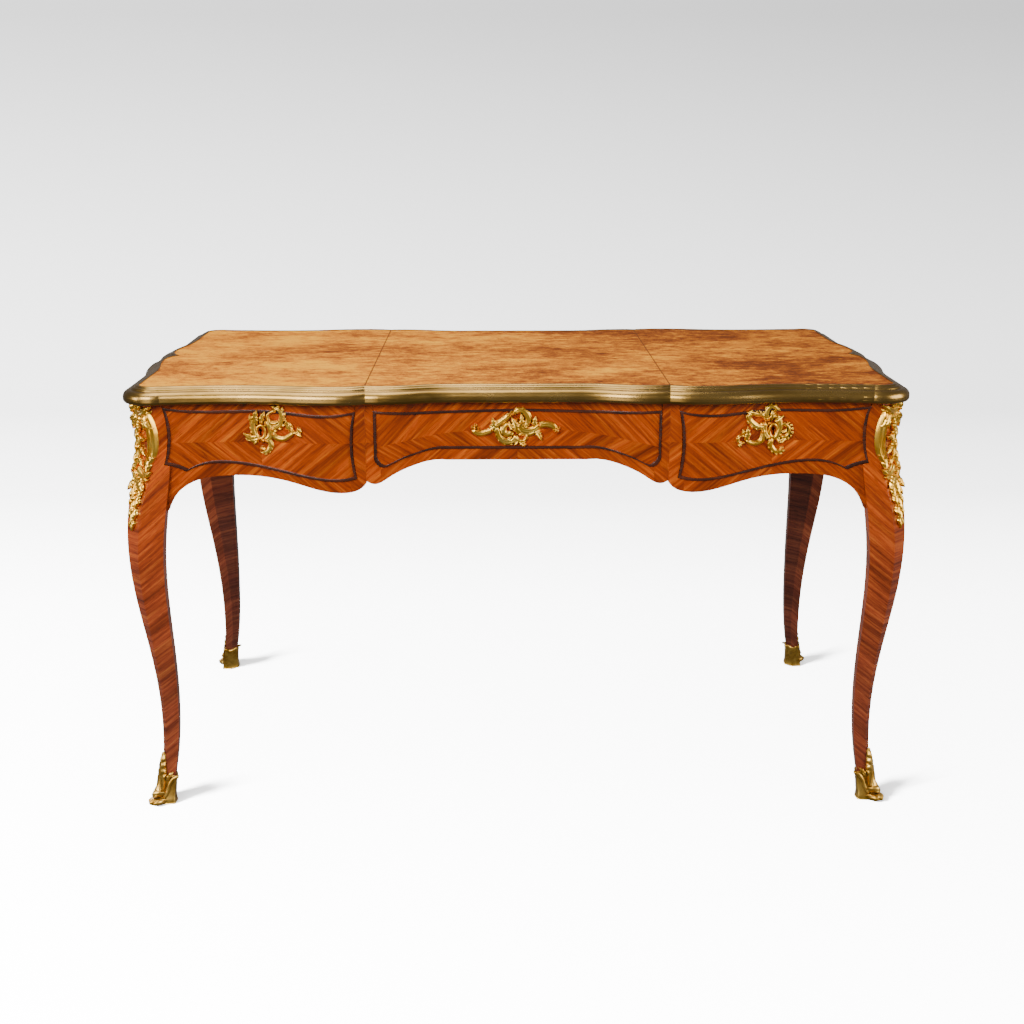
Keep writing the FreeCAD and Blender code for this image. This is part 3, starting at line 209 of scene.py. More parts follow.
SEAM = 0.664            # height of the level joint between upper and lower sheets
CENTRE_SEAM = 0.684     # the same in the shallower middle drawer
CENTRE_ARCH = 0.5       # how fast that joint falls from the middle, in metres for each square metre
DRAWER_X = 0.43275      # middle of a side drawer
STILE_X = 0.257
for side, sign in (("left", -1), ("right", 1)):
    dress(veneer(f"tulipwood_{side}_drawer", (sign * DRAWER_X, 0, SEAM)), f"{side}_drawer_front")
    dress(veneer(f"tulipwood_{side}_stile", (sign * STILE_X, 0, SEAM)), f"stile_{side}")
    dress(veneer(f"tulipwood_{side}_rail", (sign * DRAWER_X, 0, 0)), f"front_rail_{side}")
dress(veneer("tulipwood_centre_drawer", (0, 0, CENTRE_SEAM), arch=CENTRE_ARCH), "centre_drawer_front")
dress(veneer("tulipwood_centre_rail", (0, 0, 0)), "front_rail_centre")
dress(veneer("tulipwood_back", (0, 0, SEAM)), "back_apron")
dress(veneer("tulipwood_front_legs", (0, 0, 0), wraps_corner_shaded_below=True), "leg_front_left", "leg_front_right")
# Painted shade: the back legs get the darker copy of the tones
dress(veneer("tulipwood_back_legs_shaded", (0, 0, 0), SHADED_BACK_LEG_TONES, wraps_corner_shaded_below=True),
      "leg_back_left", "leg_back_right")
dress(veneer("tulipwood_ends", (0, 0, 0), wraps_corner_shaded_below=True), "end_apron_left", "end_apron_right")
print("veneer on", sum(m.name.startswith("tulipwood") for m in bpy.data.materials), "patterns")

# %% [markdown]
# ## Oak, and the dark bead
# The hidden work is plain oak: boards sawn along the grain, left from the plane and waxed. The bead round
# each drawer is a thin strip of dark wood, stained nearly black and polished, so it shows as a dark line
# with a bright edge where it turns to the light.

# %% Oak boards and dark beads
OAK = [(0.30, "#563517"), (0.45, "#7C5529"), (0.55, "#94693A"), (0.70, "#AD8350")]
BEAD_WOOD = [(0.30, "#1F0B05"), (0.48, "#38160A"), (0.60, "#4B200E"), (0.75, "#5E2C14")]


def board_wood(name, tones, turn, stripe, gloss, coat):
    """Wood in one direction; turn is the rotation that brings its length to z."""
    material, tree = blank(name)
    place = add(tree, "TexCoord")["Object"]
    grain = add(tree, "Mapping", {"Vector": place, "Rotation": turn})[0]
    colour, rough, bump = striped_wood(tree, grain, tones, stripe, gloss, 1)
    shader = add(tree, "BsdfPrincipled", {"Base Color": colour, "Roughness": rough, "Normal": bump,
                                          "IOR": 1.5, "Coat Weight": coat, "Coat Roughness": 0.2})
    add(tree, "OutputMaterial", {"Surface": shader[0]})
    return material


QUARTER_TURN = math.pi / 2
OAK_STRIPE = 7 * MM
BEAD_STRIPE = 5 * MM
BEAD_ROUND = 1.6 * MM   # radius of the rounded edges of a bead
# Waxed oak: pale brown and matt, with the open grain of a planed board
oak_deep = board_wood("oak_front_to_back", OAK, (QUARTER_TURN, 0, 0), OAK_STRIPE, 0.5, 0.0)
oak_across = board_wood("oak_side_to_side", OAK, (0, QUARTER_TURN, 0), OAK_STRIPE, 0.5, 0.0)
dress(oak_deep, "partition_left", "partition_right", "drawer_runners",
      *[f"{side}_drawer_sides" for side in DRAWERS])
dress(oak_across, "top_board", *[f"{side}_drawer_{part}" for side in DRAWERS for part in ("back", "bottom")])
BEADS = [f"{side}_drawer_bead" for side in DRAWERS] + ["back_beads", "end_beads"]
# Stain under polish: a dark line that takes a thin bright gleam
stained_bead = board_wood("stained_bead", BEAD_WOOD, (0, QUARTER_TURN, 0), BEAD_STRIPE, 0.22, 0.4)
dress(stained_bead, *BEADS)


def round_over(name, width, steps):
    """Round the edges of a CAD node with modifiers, which leave its mesh as it is."""
    weld = nodes[name].modifiers.new("weld", "WELD")
    weld.merge_threshold = 0.01 * MM
    bevel = nodes[name].modifiers.new("round", "BEVEL")
    bevel.width = width
    bevel.segments = steps
    bevel.limit_method = "ANGLE"
    bevel.angle_limit = math.radians(50)
    bevel.harden_normals = True


for name in BEADS:
    round_over(name, BEAD_ROUND, 3)
print("oak boards and", len(BEADS), "sets of beads")

# %% [markdown]
# ## Leather
# The writing surface is a thin skin glued down in three panels. Age has mottled it: lighter where hands
# have rubbed it, darker where ink and wax have soaked in, with faint streaks from side to side. One noise
# gives the clouds, a drawn-out one the streaks, a small one the flecks, and a cell pattern the grain.

# %% Aged skiver
LEATHERS = [f"leather_{side}" for side in DRAWERS]
LEATHER_SEAM = 0.2564   # distance of each seam from the middle
SEAM_REACH = 1.0 * MM   # the dark line reaches this far to each side of a seam
PAINTED_SIDE_LIGHT = 0.20           # painted light: paler at the left, where the key lamp stands, darker towards the right
CLOUD = 140 * MM        # size of a patch that hands have rubbed
STREAK = 16 * MM        # width of the streaks that papers and sleeves leave
FLECK = 5 * MM          # size of a dark fleck
PEBBLE = 1.8 * MM       # grain of the skin, drawn about twice as coarse as it is, to show


def aged_leather():
    """Old waxed skin: warm and mottled, nearly without gloss, so that its colour stays deep at a slant."""
    material, tree = blank("vegetable_tanned_skiver")
    place = add(tree, "TexCoord")["Object"]
    wide = add(tree, "Mapping", {"Vector": place, "Scale": (0.7, 1, 1)})[0]
    cloud = add(tree, "TexNoise", {"Vector": wide, "Scale": 1 / CLOUD, "Detail": 5, "Roughness": 0.55,
                                   "Distortion": 0.3})[0]
    drawn = add(tree, "Mapping", {"Vector": place, "Scale": (0.5, 1, 1)})[0]
    streak = add(tree, "TexNoise", {"Vector": drawn, "Scale": 1 / STREAK, "Detail": 8, "Roughness": 0.9})[0]
    mixed = add(tree, "Math", {0: streak, 1: 2.0, 2: cloud}, operation="MULTIPLY_ADD")[0]
    sides = add(tree, "SeparateXYZ", {0: place})[0]
    # Painted light: the tone falls from left to right, as the key lamp lights the left more
    side_lit = add(tree, "Math", {0: sides, 1: -PAINTED_SIDE_LIGHT, 2: mixed}, operation="MULTIPLY_ADD")[0]
    tone = add(tree, "MapRange", {"Value": side_lit, "From Min": 1.10, "From Max": 1.90})[0]
    colour = add(tree, "ValToRGB", {"Fac": tone}, stops=[
        (0.15, "#572504"), (0.36, "#86430A"), (0.50, "#AC6214"), (0.64, "#C97A14"), (0.85, "#E09A18")])[0]
    fleck = add(tree, "TexNoise", {"Vector": wide, "Scale": 1 / FLECK, "Detail": 4, "Roughness": 0.6})[0]
    stain = add(tree, "MapRange", {"Value": fleck, "From Min": 0.60, "From Max": 0.74, "To Max": 0.7})[0]
    spotted = add(tree, "Mix", {"Factor": stain, "A": colour, "B": linear("#5E3412")}, data_type="RGBA")[2]
    across = add(tree, "SeparateXYZ", {0: add(tree, "VectorMath", {0: place}, operation="ABSOLUTE")[0]})[0]
    line = add(tree, "Math", {0: across, 1: LEATHER_SEAM, 2: SEAM_REACH}, operation="COMPARE")[0]
    seamed = add(tree, "Mix", {"Factor": line, "A": spotted, "B": linear("#5A300F")}, data_type="RGBA")[2]
    cell = add(tree, "TexVoronoi", {"Vector": place, "Scale": 1 / PEBBLE}, feature="DISTANCE_TO_EDGE")[0]
    crease = add(tree, "Math", {0: streak, 1: 0.6, 2: cell}, operation="MULTIPLY_ADD")[0]
    bump = add(tree, "Bump", {"Height": crease, "Strength": 0.12, "Distance": 0.3 * MM})[0]
    rough = add(tree, "MapRange", {"Value": cloud, "To Min": 0.75, "To Max": 0.55})[0]
    shader = add(tree, "BsdfPrincipled", {"Base Color": seamed, "Roughness": rough, "Normal": bump,
                                          "IOR": 1.45, "Specular IOR Level": 0.12})
    add(tree, "OutputMaterial", {"Surface": shader[0]})
    return material


dress(aged_leather(), *LEATHERS)
print("leather on", len(LEATHERS), "panels")

# %% [markdown]
# ## Brass edge, gilt bronze and the locks
# The edge is drawn brass, rubbed by sleeves and gone olive with age. The ornaments are cast bronze, chased
# and gilt: bright on the high places, dark in the hollows with old wax and with painted shade. An ambient
# occlusion node finds the hollows from the shape itself, so the dirt lies where it would on the real
# casting, and the same darkening paints in the shade of the hollows.

# %% Metals
RUBBED = 16 * MM        # size of the places that are rubbed bright
FILE_MARK = 1.1 * MM    # drawn coarser than a file leaves it, to show


def old_metal(name, bright, dull, dirt_and_shade_colour, reach, roughs, drawn=(1, 1, 1)):
    """Worn metal with dirt and painted shade in its hollows; reach is how far that darkening spreads from a
    corner.
    """
    material, tree = blank(name)
    place = add(tree, "TexCoord")["Object"]
    along = add(tree, "Mapping", {"Vector": place, "Scale": drawn})[0]
    wear = add(tree, "TexNoise", {"Vector": along, "Scale": 1 / RUBBED, "Detail": 5, "Roughness": 0.6})[0]
    colour = add(tree, "ValToRGB", {"Fac": wear}, stops=[(0.36, dull), (0.62, bright)])[0]
    # Dirt and painted shade: occlusion darkens the hollows towards the dirt colour and makes them matt
    open_air = add(tree, "AmbientOcclusion", {"Distance": reach}, samples=8)["AO"]
    hollow = add(tree, "MapRange", {"Value": open_air, "From Min": 0.18, "From Max": 0.70, "To Min": 1,
                                    "To Max": 0})[0]
    dirt_and_shade = add(tree, "Mix", {"Factor": hollow, "A": colour, "B": linear(dirt_and_shade_colour)}, data_type="RGBA")[2]
    worn = add(tree, "MapRange", {"Value": wear, "To Min": roughs[1], "To Max": roughs[0]})[0]
    matt = add(tree, "Math", {0: hollow, 1: 0.3, 2: worn}, operation="MULTIPLY_ADD")[0]
    tooth = add(tree, "TexNoise", {"Vector": along, "Scale": 1 / FILE_MARK, "Detail": 2})[0]
    bump = add(tree, "Bump", {"Height": tooth, "Strength": 0.04, "Distance": 0.1 * MM})[0]
    shader = add(tree, "BsdfPrincipled", {"Base Color": dirt_and_shade, "Metallic": 1.0, "Roughness": matt,
                                          "Normal": bump})
    add(tree, "OutputMaterial", {"Surface": shader[0]})
    return material


# Drawn and bent brass: long soft gleams along the moulding, olive between them
edge_brass = old_metal("drawn_brass_aged", "#A07E44", "#7E602C", "#2B1C08", 5 * MM, (0.24, 0.32),
                       (0.15, 0.4, 0.4))
# Fire gilding, burnished on the high places: deep yellow that flashes pale where it faces a light
gilt = old_metal("gilt_bronze_chased", "#FFCD54", "#EDAA2E", "#2C1603", 4 * MM, (0.22, 0.36))
# The same, worn by brooms and shoes: browner, with less flash
dull_gilt = old_metal("gilt_bronze_worn", "#E8B858", "#B4822E", "#2A1504", 5 * MM, (0.26, 0.42))
# Sand cast and filed flat: satin, without a sharp reflection
lock_brass = old_metal("filed_brass", "#C2A05A", "#9A7B3C", "#3A2A10", 3 * MM, (0.30, 0.45))
# Steel that was filed and never polished: grey and satin
bolt_steel = old_metal("filed_steel", "#8F8C86", "#6C6964", "#2A2724", 3 * MM, (0.30, 0.45))
EDGES = ["edge_front", "edge_back"] + ["edge_" + place for place in CORNERS]
dress(edge_brass, *EDGES)
for side in DRAWERS:
    dress(lock_brass, f"{side}_drawer_lock")
    dress(bolt_steel, f"{side}_drawer_bolt")
print("metals on", len(EDGES), "edge lengths and three locks")

# %% [markdown]
# ## Shapes of cast ornament
# Rocaille ornament is made of few things: rounded scrolls with a flute down the middle, lobed leaves, and
# round buds. Each is drawn flat, in millimetres across and up, with a height above the ground that carries
# it. A place function then lays the flat drawing on a drawer front, a canted corner or a foot.

# %% Lines
def smooth_line(points, count, closed=False):
    """Points along a smooth curve through a few places; a place is (across, up) or (across, up, lift)."""
    knots = np.array([tuple(p) + (0,) * (3 - len(p)) for p in points], float)
    if closed:
        knots = np.vstack([knots[-1:], knots, knots[:2]])
    else:
        knots = np.vstack([2 * knots[0] - knots[1], knots, 2 * knots[-1] - knots[-2]])
    spans = len(knots) - 3
    share = np.linspace(0, spans, count, endpoint=not closed)
    first = np.minimum(share.astype(int), spans - 1)
    f = (share - first)[:, None]
    a, b, c, d = (knots[first + k] for k in range(4))
    bent = (2 * a - 5 * b + 4 * c - d) * f ** 2 + (3 * b - a - 3 * c + d) * f ** 3
    return 0.5 * (2 * b + (c - a) * f + bent)


def along_line(values, count):
    """Values spread evenly along a line of points."""
    values = np.atleast_1d(np.array(values, float))
    return np.interp(np.linspace(0, 1, count), np.linspace(0, 1, len(values)), values)


def grid_faces(rows, columns, wrap_rows, wrap_columns):
    """Quads of a grid of points, row by row."""
    faces = []
    for r in range(rows if wrap_rows else rows - 1):
        for c in range(columns if wrap_columns else columns - 1):
            r2, c2 = (r + 1) % rows, (c + 1) % columns
            faces.append([r * columns + c, r * columns + c2, r2 * columns + c2, r2 * columns + c])
    return faces


print("a line through three places has", len(smooth_line([(0, 0), (1, 1), (2, 0)], 9)), "points")

# %% [markdown]
# ## Scrolls
# A scroll is a rounded bar that swells and thins along a line and may have a flute sunk down its crown. A
# curve object with a bevel could not sink the flute, so the ring of points is worked out here and swept.

# %% Scrolls
AROUND = 14             # points round a scroll
END_TAPER = 0.10        # share of a scroll that rounds off at each end
FOOT_WIDTH = 1.50       # foot of a scroll, as a share of the scroll
FOOT_HEIGHT = 0.42      # and its height, likewise


def scroll(path, width, height, flute=0.0, closed=False):
    """Rounded band along a path, with a flute down its middle."""
    count = 7 * len(path)
    line = smooth_line(path, count, closed)
    if closed:
        ahead = np.roll(line, -1, axis=0) - np.roll(line, 1, axis=0)
    else:
        ahead = np.gradient(line, axis=0)
    ahead = ahead[:, :2] / np.maximum(np.linalg.norm(ahead[:, :2], axis=1), 1e-6)[:, None]
    wide, tall = along_line(width, count) / 2, along_line(height, count)
    if not closed:
        share = np.linspace(0, 1, count)
        end = np.sqrt(np.clip(np.minimum(share, 1 - share) / END_TAPER, 0.02, 1))
        wide, tall = wide * end, tall * end
    turn = np.linspace(0, 2 * np.pi, AROUND, endpoint=False)
    hollow = 1 - flute * np.exp(-(np.cos(turn) / 0.4) ** 2)
    rise = np.where(np.sin(turn) > 0, np.sin(turn) * hollow, 0.25 * np.sin(turn))
    ring = np.repeat(line[:, None, :], AROUND, axis=1)
    reach = wide[:, None] * np.cos(turn)
    ring[:, :, 0] -= ahead[:, 1:2] * reach
    ring[:, :, 1] += ahead[:, 0:1] * reach
    ring[:, :, 2] += tall[:, None] * rise
    faces = grid_faces(count, AROUND, closed, True)
    if not closed:
        faces += [list(range(AROUND)), list(range((count - 1) * AROUND, count * AROUND))]
    return ring.reshape(-1, 3), faces


def band(path, width, height, flute=0.0):
    """Fluted scroll on a wider, lower foot."""
    foot = scroll(path, np.atleast_1d(width) * FOOT_WIDTH, np.atleast_1d(height) * FOOT_HEIGHT)
    return [foot, scroll(path, width, height, flute)]


def beside(path, offset):
    """Path a little to the left of another, or to its right."""
    line = smooth_line(path, len(path) * 2)
    ahead = np.gradient(line, axis=0)
    ahead /= np.linalg.norm(ahead, axis=1)[:, None]
    return [(x - ay * offset, y + ax * offset, z) for (x, y, z), (ax, ay, _) in zip(line, ahead)]


def fluted(path, width, height):
    """Broad scroll with raised rims and a rib between them."""
    rim = 0.36 * width
    forms = [scroll(path, width * 0.8, height * 0.6)]
    forms += [scroll(beside(path, offset), width * 0.2, height) for offset in (-rim, 0, rim)]
    return forms


def hoop(across, up, half_wide, half_high, width, height):
    """Scroll closed into an oval."""
    turns = np.linspace(0, 2 * np.pi, 8, endpoint=False)
    path = [(across + half_wide * math.cos(t), up + half_high * math.sin(t)) for t in turns]
    return scroll(path, width, height, closed=True)


print("a hoop has", len(hoop(0, 0, 7, 11, 5, 4)[1]), "faces")

# %% [markdown]
# ## Leaves and buds
# A leaf is a grid of points: its edge comes and goes in lobes, its two halves are domed and its midrib is
# sunk, as a chaser cuts them. A row of small leaves makes the ragged border of a scroll. A bud is a round
# boss.

# %% Leaves and buds
def leaf(path, width, height, lobes=3, curl=0.0):
    """Lobed leaf with a sunk midrib, whose tip may curl up."""
    count, columns = 6 * lobes + 5, 11
    line = smooth_line(path, count)
    ahead = np.gradient(line, axis=0)[:, :2]
    ahead /= np.maximum(np.linalg.norm(ahead, axis=1), 1e-6)[:, None]
    share = np.linspace(0, 1, count)
    side = np.linspace(-1, 1, columns)
    swell = np.sin(np.pi * np.clip(share, 0.04, 0.985) ** 0.8) ** 0.75
    teeth = 0.70 + 0.30 * np.abs(np.cos(np.pi * lobes * share))
    reach = (width / 2 * swell * teeth)[:, None] * side
    crown = (height * np.sin(np.pi * (0.14 + 0.76 * share)) ** 0.6)[:, None]
    dome = np.clip(1 - side ** 2, 0, 1) ** 0.6 - 0.4 * np.exp(-(side / 0.17) ** 2)
    ripple = 0.16 * np.cos(2 * np.pi * lobes * share)[:, None] * side ** 2
    lift = (curl * share ** 2)[:, None]
    top = np.repeat(line[:, None, :], columns, axis=1)
    top[:, :, 0] -= ahead[:, 1:2] * reach
    top[:, :, 1] += ahead[:, 0:1] * reach
    under = top.copy()
    top[:, :, 2] += crown * (dome + ripple) + lift
    under[:, :, 2] += lift - 0.8
    points = np.vstack([top.reshape(-1, 3), under.reshape(-1, 3)])
    size = count * columns
    faces = grid_faces(count, columns, False, False)
    faces += [[i + size for i in reversed(face)] for face in faces]
    rim = [r * columns for r in range(count)] + [(count - 1) * columns + c for c in range(1, columns)]
    rim += [r * columns + columns - 1 for r in range(count - 2, -1, -1)] + list(range(columns - 2, 0, -1))
    faces += [[a, b, b + size, a + size] for a, b in zip(rim, rim[1:] + rim[:1])]
    return points, faces


def fringe(path, side, reach, height, count):
    """Small leaves that stand along one side of a path; side is 1 for its left and -1 for its right."""
    line = smooth_line(path, count + 2)
    ahead = np.gradient(line, axis=0)
    ahead /= np.linalg.norm(ahead, axis=1)[:, None]
    forms = []
    for (x, y, z), (ax, ay, _) in list(zip(line, ahead))[1:-1]:
        nx, ny = -ay * side, ax * side
        bend = (x + nx * reach * 0.7 + ax * reach * 0.2, y + ny * reach * 0.7 + ay * reach * 0.2, z)
        tip = (x + nx * reach * 1.1 + ax * reach * 0.8, y + ny * reach * 1.1 + ay * reach * 0.8, z)
        forms.append(leaf([(x, y, z), bend, tip], reach * 1.1, height, 2, 1))
    return forms


def bud(across, up, radius, height, lift=0.0):
    """Round boss."""
    rows, columns = 7, 12
    fall = np.linspace(0.06, np.pi - 0.06, rows)[:, None]
    turn = np.linspace(0, 2 * np.pi, columns, endpoint=False)[None, :]
    girth = radius * np.sin(fall)
    points = np.stack([across + girth * np.cos(turn), up + girth * np.sin(turn),
                       lift + height * np.cos(fall) * np.ones_like(turn)], axis=2)
    faces = grid_faces(rows, columns, False, True)
    faces += [list(range(columns)), list(range((rows - 1) * columns, rows * columns))]
    return points.reshape(-1, 3), faces


def buds(path, radius, height, count):
    """Row of small bosses along a path."""
    sizes = along_line(radius, count)
    return [bud(x, y, size, height, z) for (x, y, z), size in zip(smooth_line(path, count), sizes)]


print("a leaf has", len(leaf([(0, 0), (5, 9), (4, 20)], 9, 4)[1]), "faces")

# %% [markdown]
# ## Casting
# A founder casts a mount in one piece, so all its forms go into one mesh. The mesh takes the place of the
# plain CAD plate, rides on the same body, and so moves with its drawer.

# %% Casting
def laid(forms, place):
    """Flat forms laid in place on the table."""
    return [([place(*point) for point in flat], faces) for flat, faces in forms]


def cast(name, solids, finish, body, *replaced):
    """Gather laid forms into one casting, and let it stand for CAD nodes."""
    points, faces = [], []
    for places, polygons in solids:
        first = len(points)
        points += places
        faces += [[first + i for i in polygon] for polygon in polygons]
    mesh = bpy.data.meshes.new(name)
    mesh.from_pydata(points, [], faces)
    mesh.shade_smooth()
    mesh.materials.append(finish)
    piece = bpy.data.objects.new(name, mesh)
    bpy.context.scene.collection.objects.link(piece)
    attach(piece, body)
    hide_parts(*replaced)
    print(name, len(faces), "faces")


def shape_of(*names):
    """Search tree of CAD nodes, for laying ornament on their faces."""
    points, faces = [], []
    for name in names:
        mesh = nodes[name].data
        first = len(points)
        points += [v.co.copy() for v in mesh.vertices]
        faces += [[first + i for i in polygon.vertices] for polygon in mesh.polygons]
    return BVHTree.FromPolygons(points, faces)


print("ready to cast")

# %% [markdown]
# ## Drawer mounts
# Each side drawer has a keyhole mount that is also its pull: a leafy shield round the keyhole, a ring of
# scrolls above, a smooth arm to grip and a hooked tail. The middle drawer has a lying cartouche of scrolls.
# The drawings below give the main lines in millimetres from the keyhole; the front face is upright, so a
# single ray per point finds how far forward it stands.

# %% Drawings of the three mounts
ring = [(14, 1), (26, 6), (34.5, 12), (37.5, 23), (35.5, 33), (29, 38), (25, 34)]
hook = [(10, -13), (16.5, -22), (14.5, -31.5), (7, -37), (2, -32)]
left_side = [(-7, 23), (-12, 14), (-12.5, 2), (-9, -8), (-3, -15)]
right_side = [(7, 17), (15, 8), (18, -4), (13, -14), (4, -16)]
left_mount = [
    hoop(0.5, -2.5, 7.2, 11, 5.0, 4.0),
    *band(left_side, (5, 7, 7, 5), 6.5, 0.45), *band(right_side, (6, 8, 8, 6), 7.5, 0.5),
    leaf([(-5, 10), (-9, 22), (-4, 36)], 14, 6, 4, 4), leaf([(0, 13), (4, 23), (9, 33)], 12, 6.5, 3, 3),
    leaf([(-9, 8), (-15, 17), (-17, 27)], 11, 5, 3, 2), leaf([(7, 8), (14, 14), (16, 22)], 10, 6, 3, 2),
    *band(ring, (6, 8, 7, 5), 7.5, 0.45), *fringe(ring, -1, 6.5, 4.5, 8),
    *band([(28, 35), (21, 33), (14, 28), (12.5, 21), (19, 14), (28, 14), (34, 20)], (4, 5, 5, 4), 6),
    *fringe([(30, 37), (20, 35), (12, 29), (10, 21)], 1, 4.5, 4, 4),
    *band([(23, 9), (19.5, -2), (25, -11), (37.5, -14.2), (49, -8.5), (58, 0)], (6, 8, 6.5, 5), 7, 0.3),
    leaf([(58, -1), (48.5, 8), (44, 21)], 14, 6.5, 4, 4), leaf([(56, 4), (52, 10), (51, 16)], 9, 6, 3, 2),
    *band([(57, 8), (53.5, 3), (57, -2), (63, -1), (65.5, 4), (62, 8)], 4.5, 7),
    leaf([(60, 0), (65, -4), (70, -8)], 11, 6, 3, 3), leaf([(62, 4), (67, 3), (71, -1)], 8, 5, 2, 2),
    leaf([(-1, -11), (-13, -13.5), (-29, -4)], 17, 6, 4, 4),
    leaf([(-12, -14), (-20, -16), (-25, -13)], 9, 5, 3, 2),
    leaf([(-4, -14), (-9, -18), (-12, -24)], 11, 5, 3, 2),
    *band(hook, (6, 7, 6, 4), 6.5, 0.4), *fringe(hook, 1, 4.5, 4, 6),
    bud(2.5, -31.5, 5.4, 8), bud(26, 34, 3.6, 8), bud(10, 13, 4, 7), bud(2, 14, 3.6, 7),
    bud(3, -17, 4.2, 7), bud(-4, -14, 3.6, 6), bud(10, -18, 4, 7), bud(20, 3, 4.6, 7), bud(21, -6, 3.6, 7),
    *fringe(left_side, -1, 5, 4, 6), *fringe(right_side, 1, 4, 4, 4),
]
left_side = [(-14, 12), (-16.5, 1), (-13, -10), (-6, -16)]
right_side = [(-3, 25), (7, 18), (10.5, 3), (7, -11), (0, -18)]
ring = [(-15, 19), (-21, 25), (-29, 26), (-40, 28), (-43, 18.5), (-35, 8.5), (-25, 4), (-14, 5)]
crest = [(-11, 13), (-13, 22), (-12.5, 31.5), (-6, 38.5), (2.5, 35.5), (1, 31)]
hook = [(-2, -14), (-4, -28), (3.5, -38), (12.5, -38.5), (16, -33)]
right_mount = [
    hoop(-0.5, -2.5, 6.8, 11, 5.0, 4.0),
    *band(left_side, (6, 8, 8, 6), 7.5, 0.5), *band(right_side, (6, 8, 8, 6), 7.5, 0.45),
    *band([(-17, 5), (-17.5, -10), (-20, -19), (-28, -23.5), (-38, -23), (-49, -17)],
          (6, 8, 6.5, 5), 7, 0.3),
    leaf([(-49, -18), (-45, -8), (-46.5, 6)], 14, 6.5, 4, 4),
    leaf([(-52, -10), (-52, -4), (-54, 2)], 8, 6, 2, 2),
    *band([(-50, -12), (-55, -9), (-60.5, -13), (-60, -20), (-54, -22.5), (-50, -19)], 4.5, 7),
    leaf([(-55, -19), (-58, -24), (-57, -30)], 10, 6, 3, 2),
    leaf([(-58, -12), (-62, -15), (-63, -21)], 8, 5, 2, 2),
    *band(ring, (5, 6, 7, 8, 7), 7, 0.35), *fringe(ring, -1, 5.5, 4.5, 9),
    leaf([(-36, 25), (-42, 29), (-49, 31)], 11, 6, 3, 2),
    *band(crest, (8, 8, 7, 4), 7, 0.4), *fringe(crest, 1, 5.5, 4.5, 6),
    leaf([(1, 13), (8, 18), (16, 24)], 12, 6, 3, 3), leaf([(-5, 14), (-4, 24), (-5, 33)], 11, 7, 3, 2),
    *band([(10, 6), (17, 8.5), (25, 3), (26, -7), (20, -14), (12, -12)], 5, 7, 0.3),
    *fringe([(17, 10), (27, 4), (28, -8), (20, -16)], 1, 5, 4.5, 6),
    leaf([(12, -4), (18, -4), (22, 1)], 9, 6, 3, 2),
    leaf([(20, -12), (17, -19), (11, -23)], 12, 6, 3, 2),
    leaf([(5, -12), (9, -18), (10, -25)], 10, 6, 3, 2),
    *band(hook, (7, 7, 6, 4), 6.5, 0.4), *fringe(hook, -1, 5, 4, 6),
    bud(15, -33, 4.2, 7), bud(0, 31, 3.6, 8), bud(-8, 10, 3.6, 7), bud(-6, -14, 4, 7), bud(-20, 9, 4.6, 7),
    bud(4, 22, 3.6, 7), bud(12, -10, 4, 7), bud(-10, 18, 4.4, 7), bud(-18, -4, 3.8, 7),
    *fringe(left_side, -1, 4.5, 4, 4), *fringe(right_side, 1, 4, 4, 5),
]
top_turn = [(-10, 23), (0.5, 31.5), (10.5, 29.5), (17.5, 21), (17.5, 12), (12, 6), (5, 9.5)]
low_turn = [(-37, 5), (-34, -4), (-30.5, -15), (-22, -22), (-11, -22.5), (-5, -17), (-8, -12)]
left_wing = [(-75, 1), (-72, -5.5), (-64, -8.5), (-54.5, -7), (-44.5, -2), (-30.5, 9.5), (-20.5, 17),
             (-9, 27)]
right_wing = [(3, 13), (3.5, 5), (9, -2), (20, -3.5), (30, -0.5), (37, 5), (47, 7), (57, 5.5), (63, 1),
              (67, -6)]
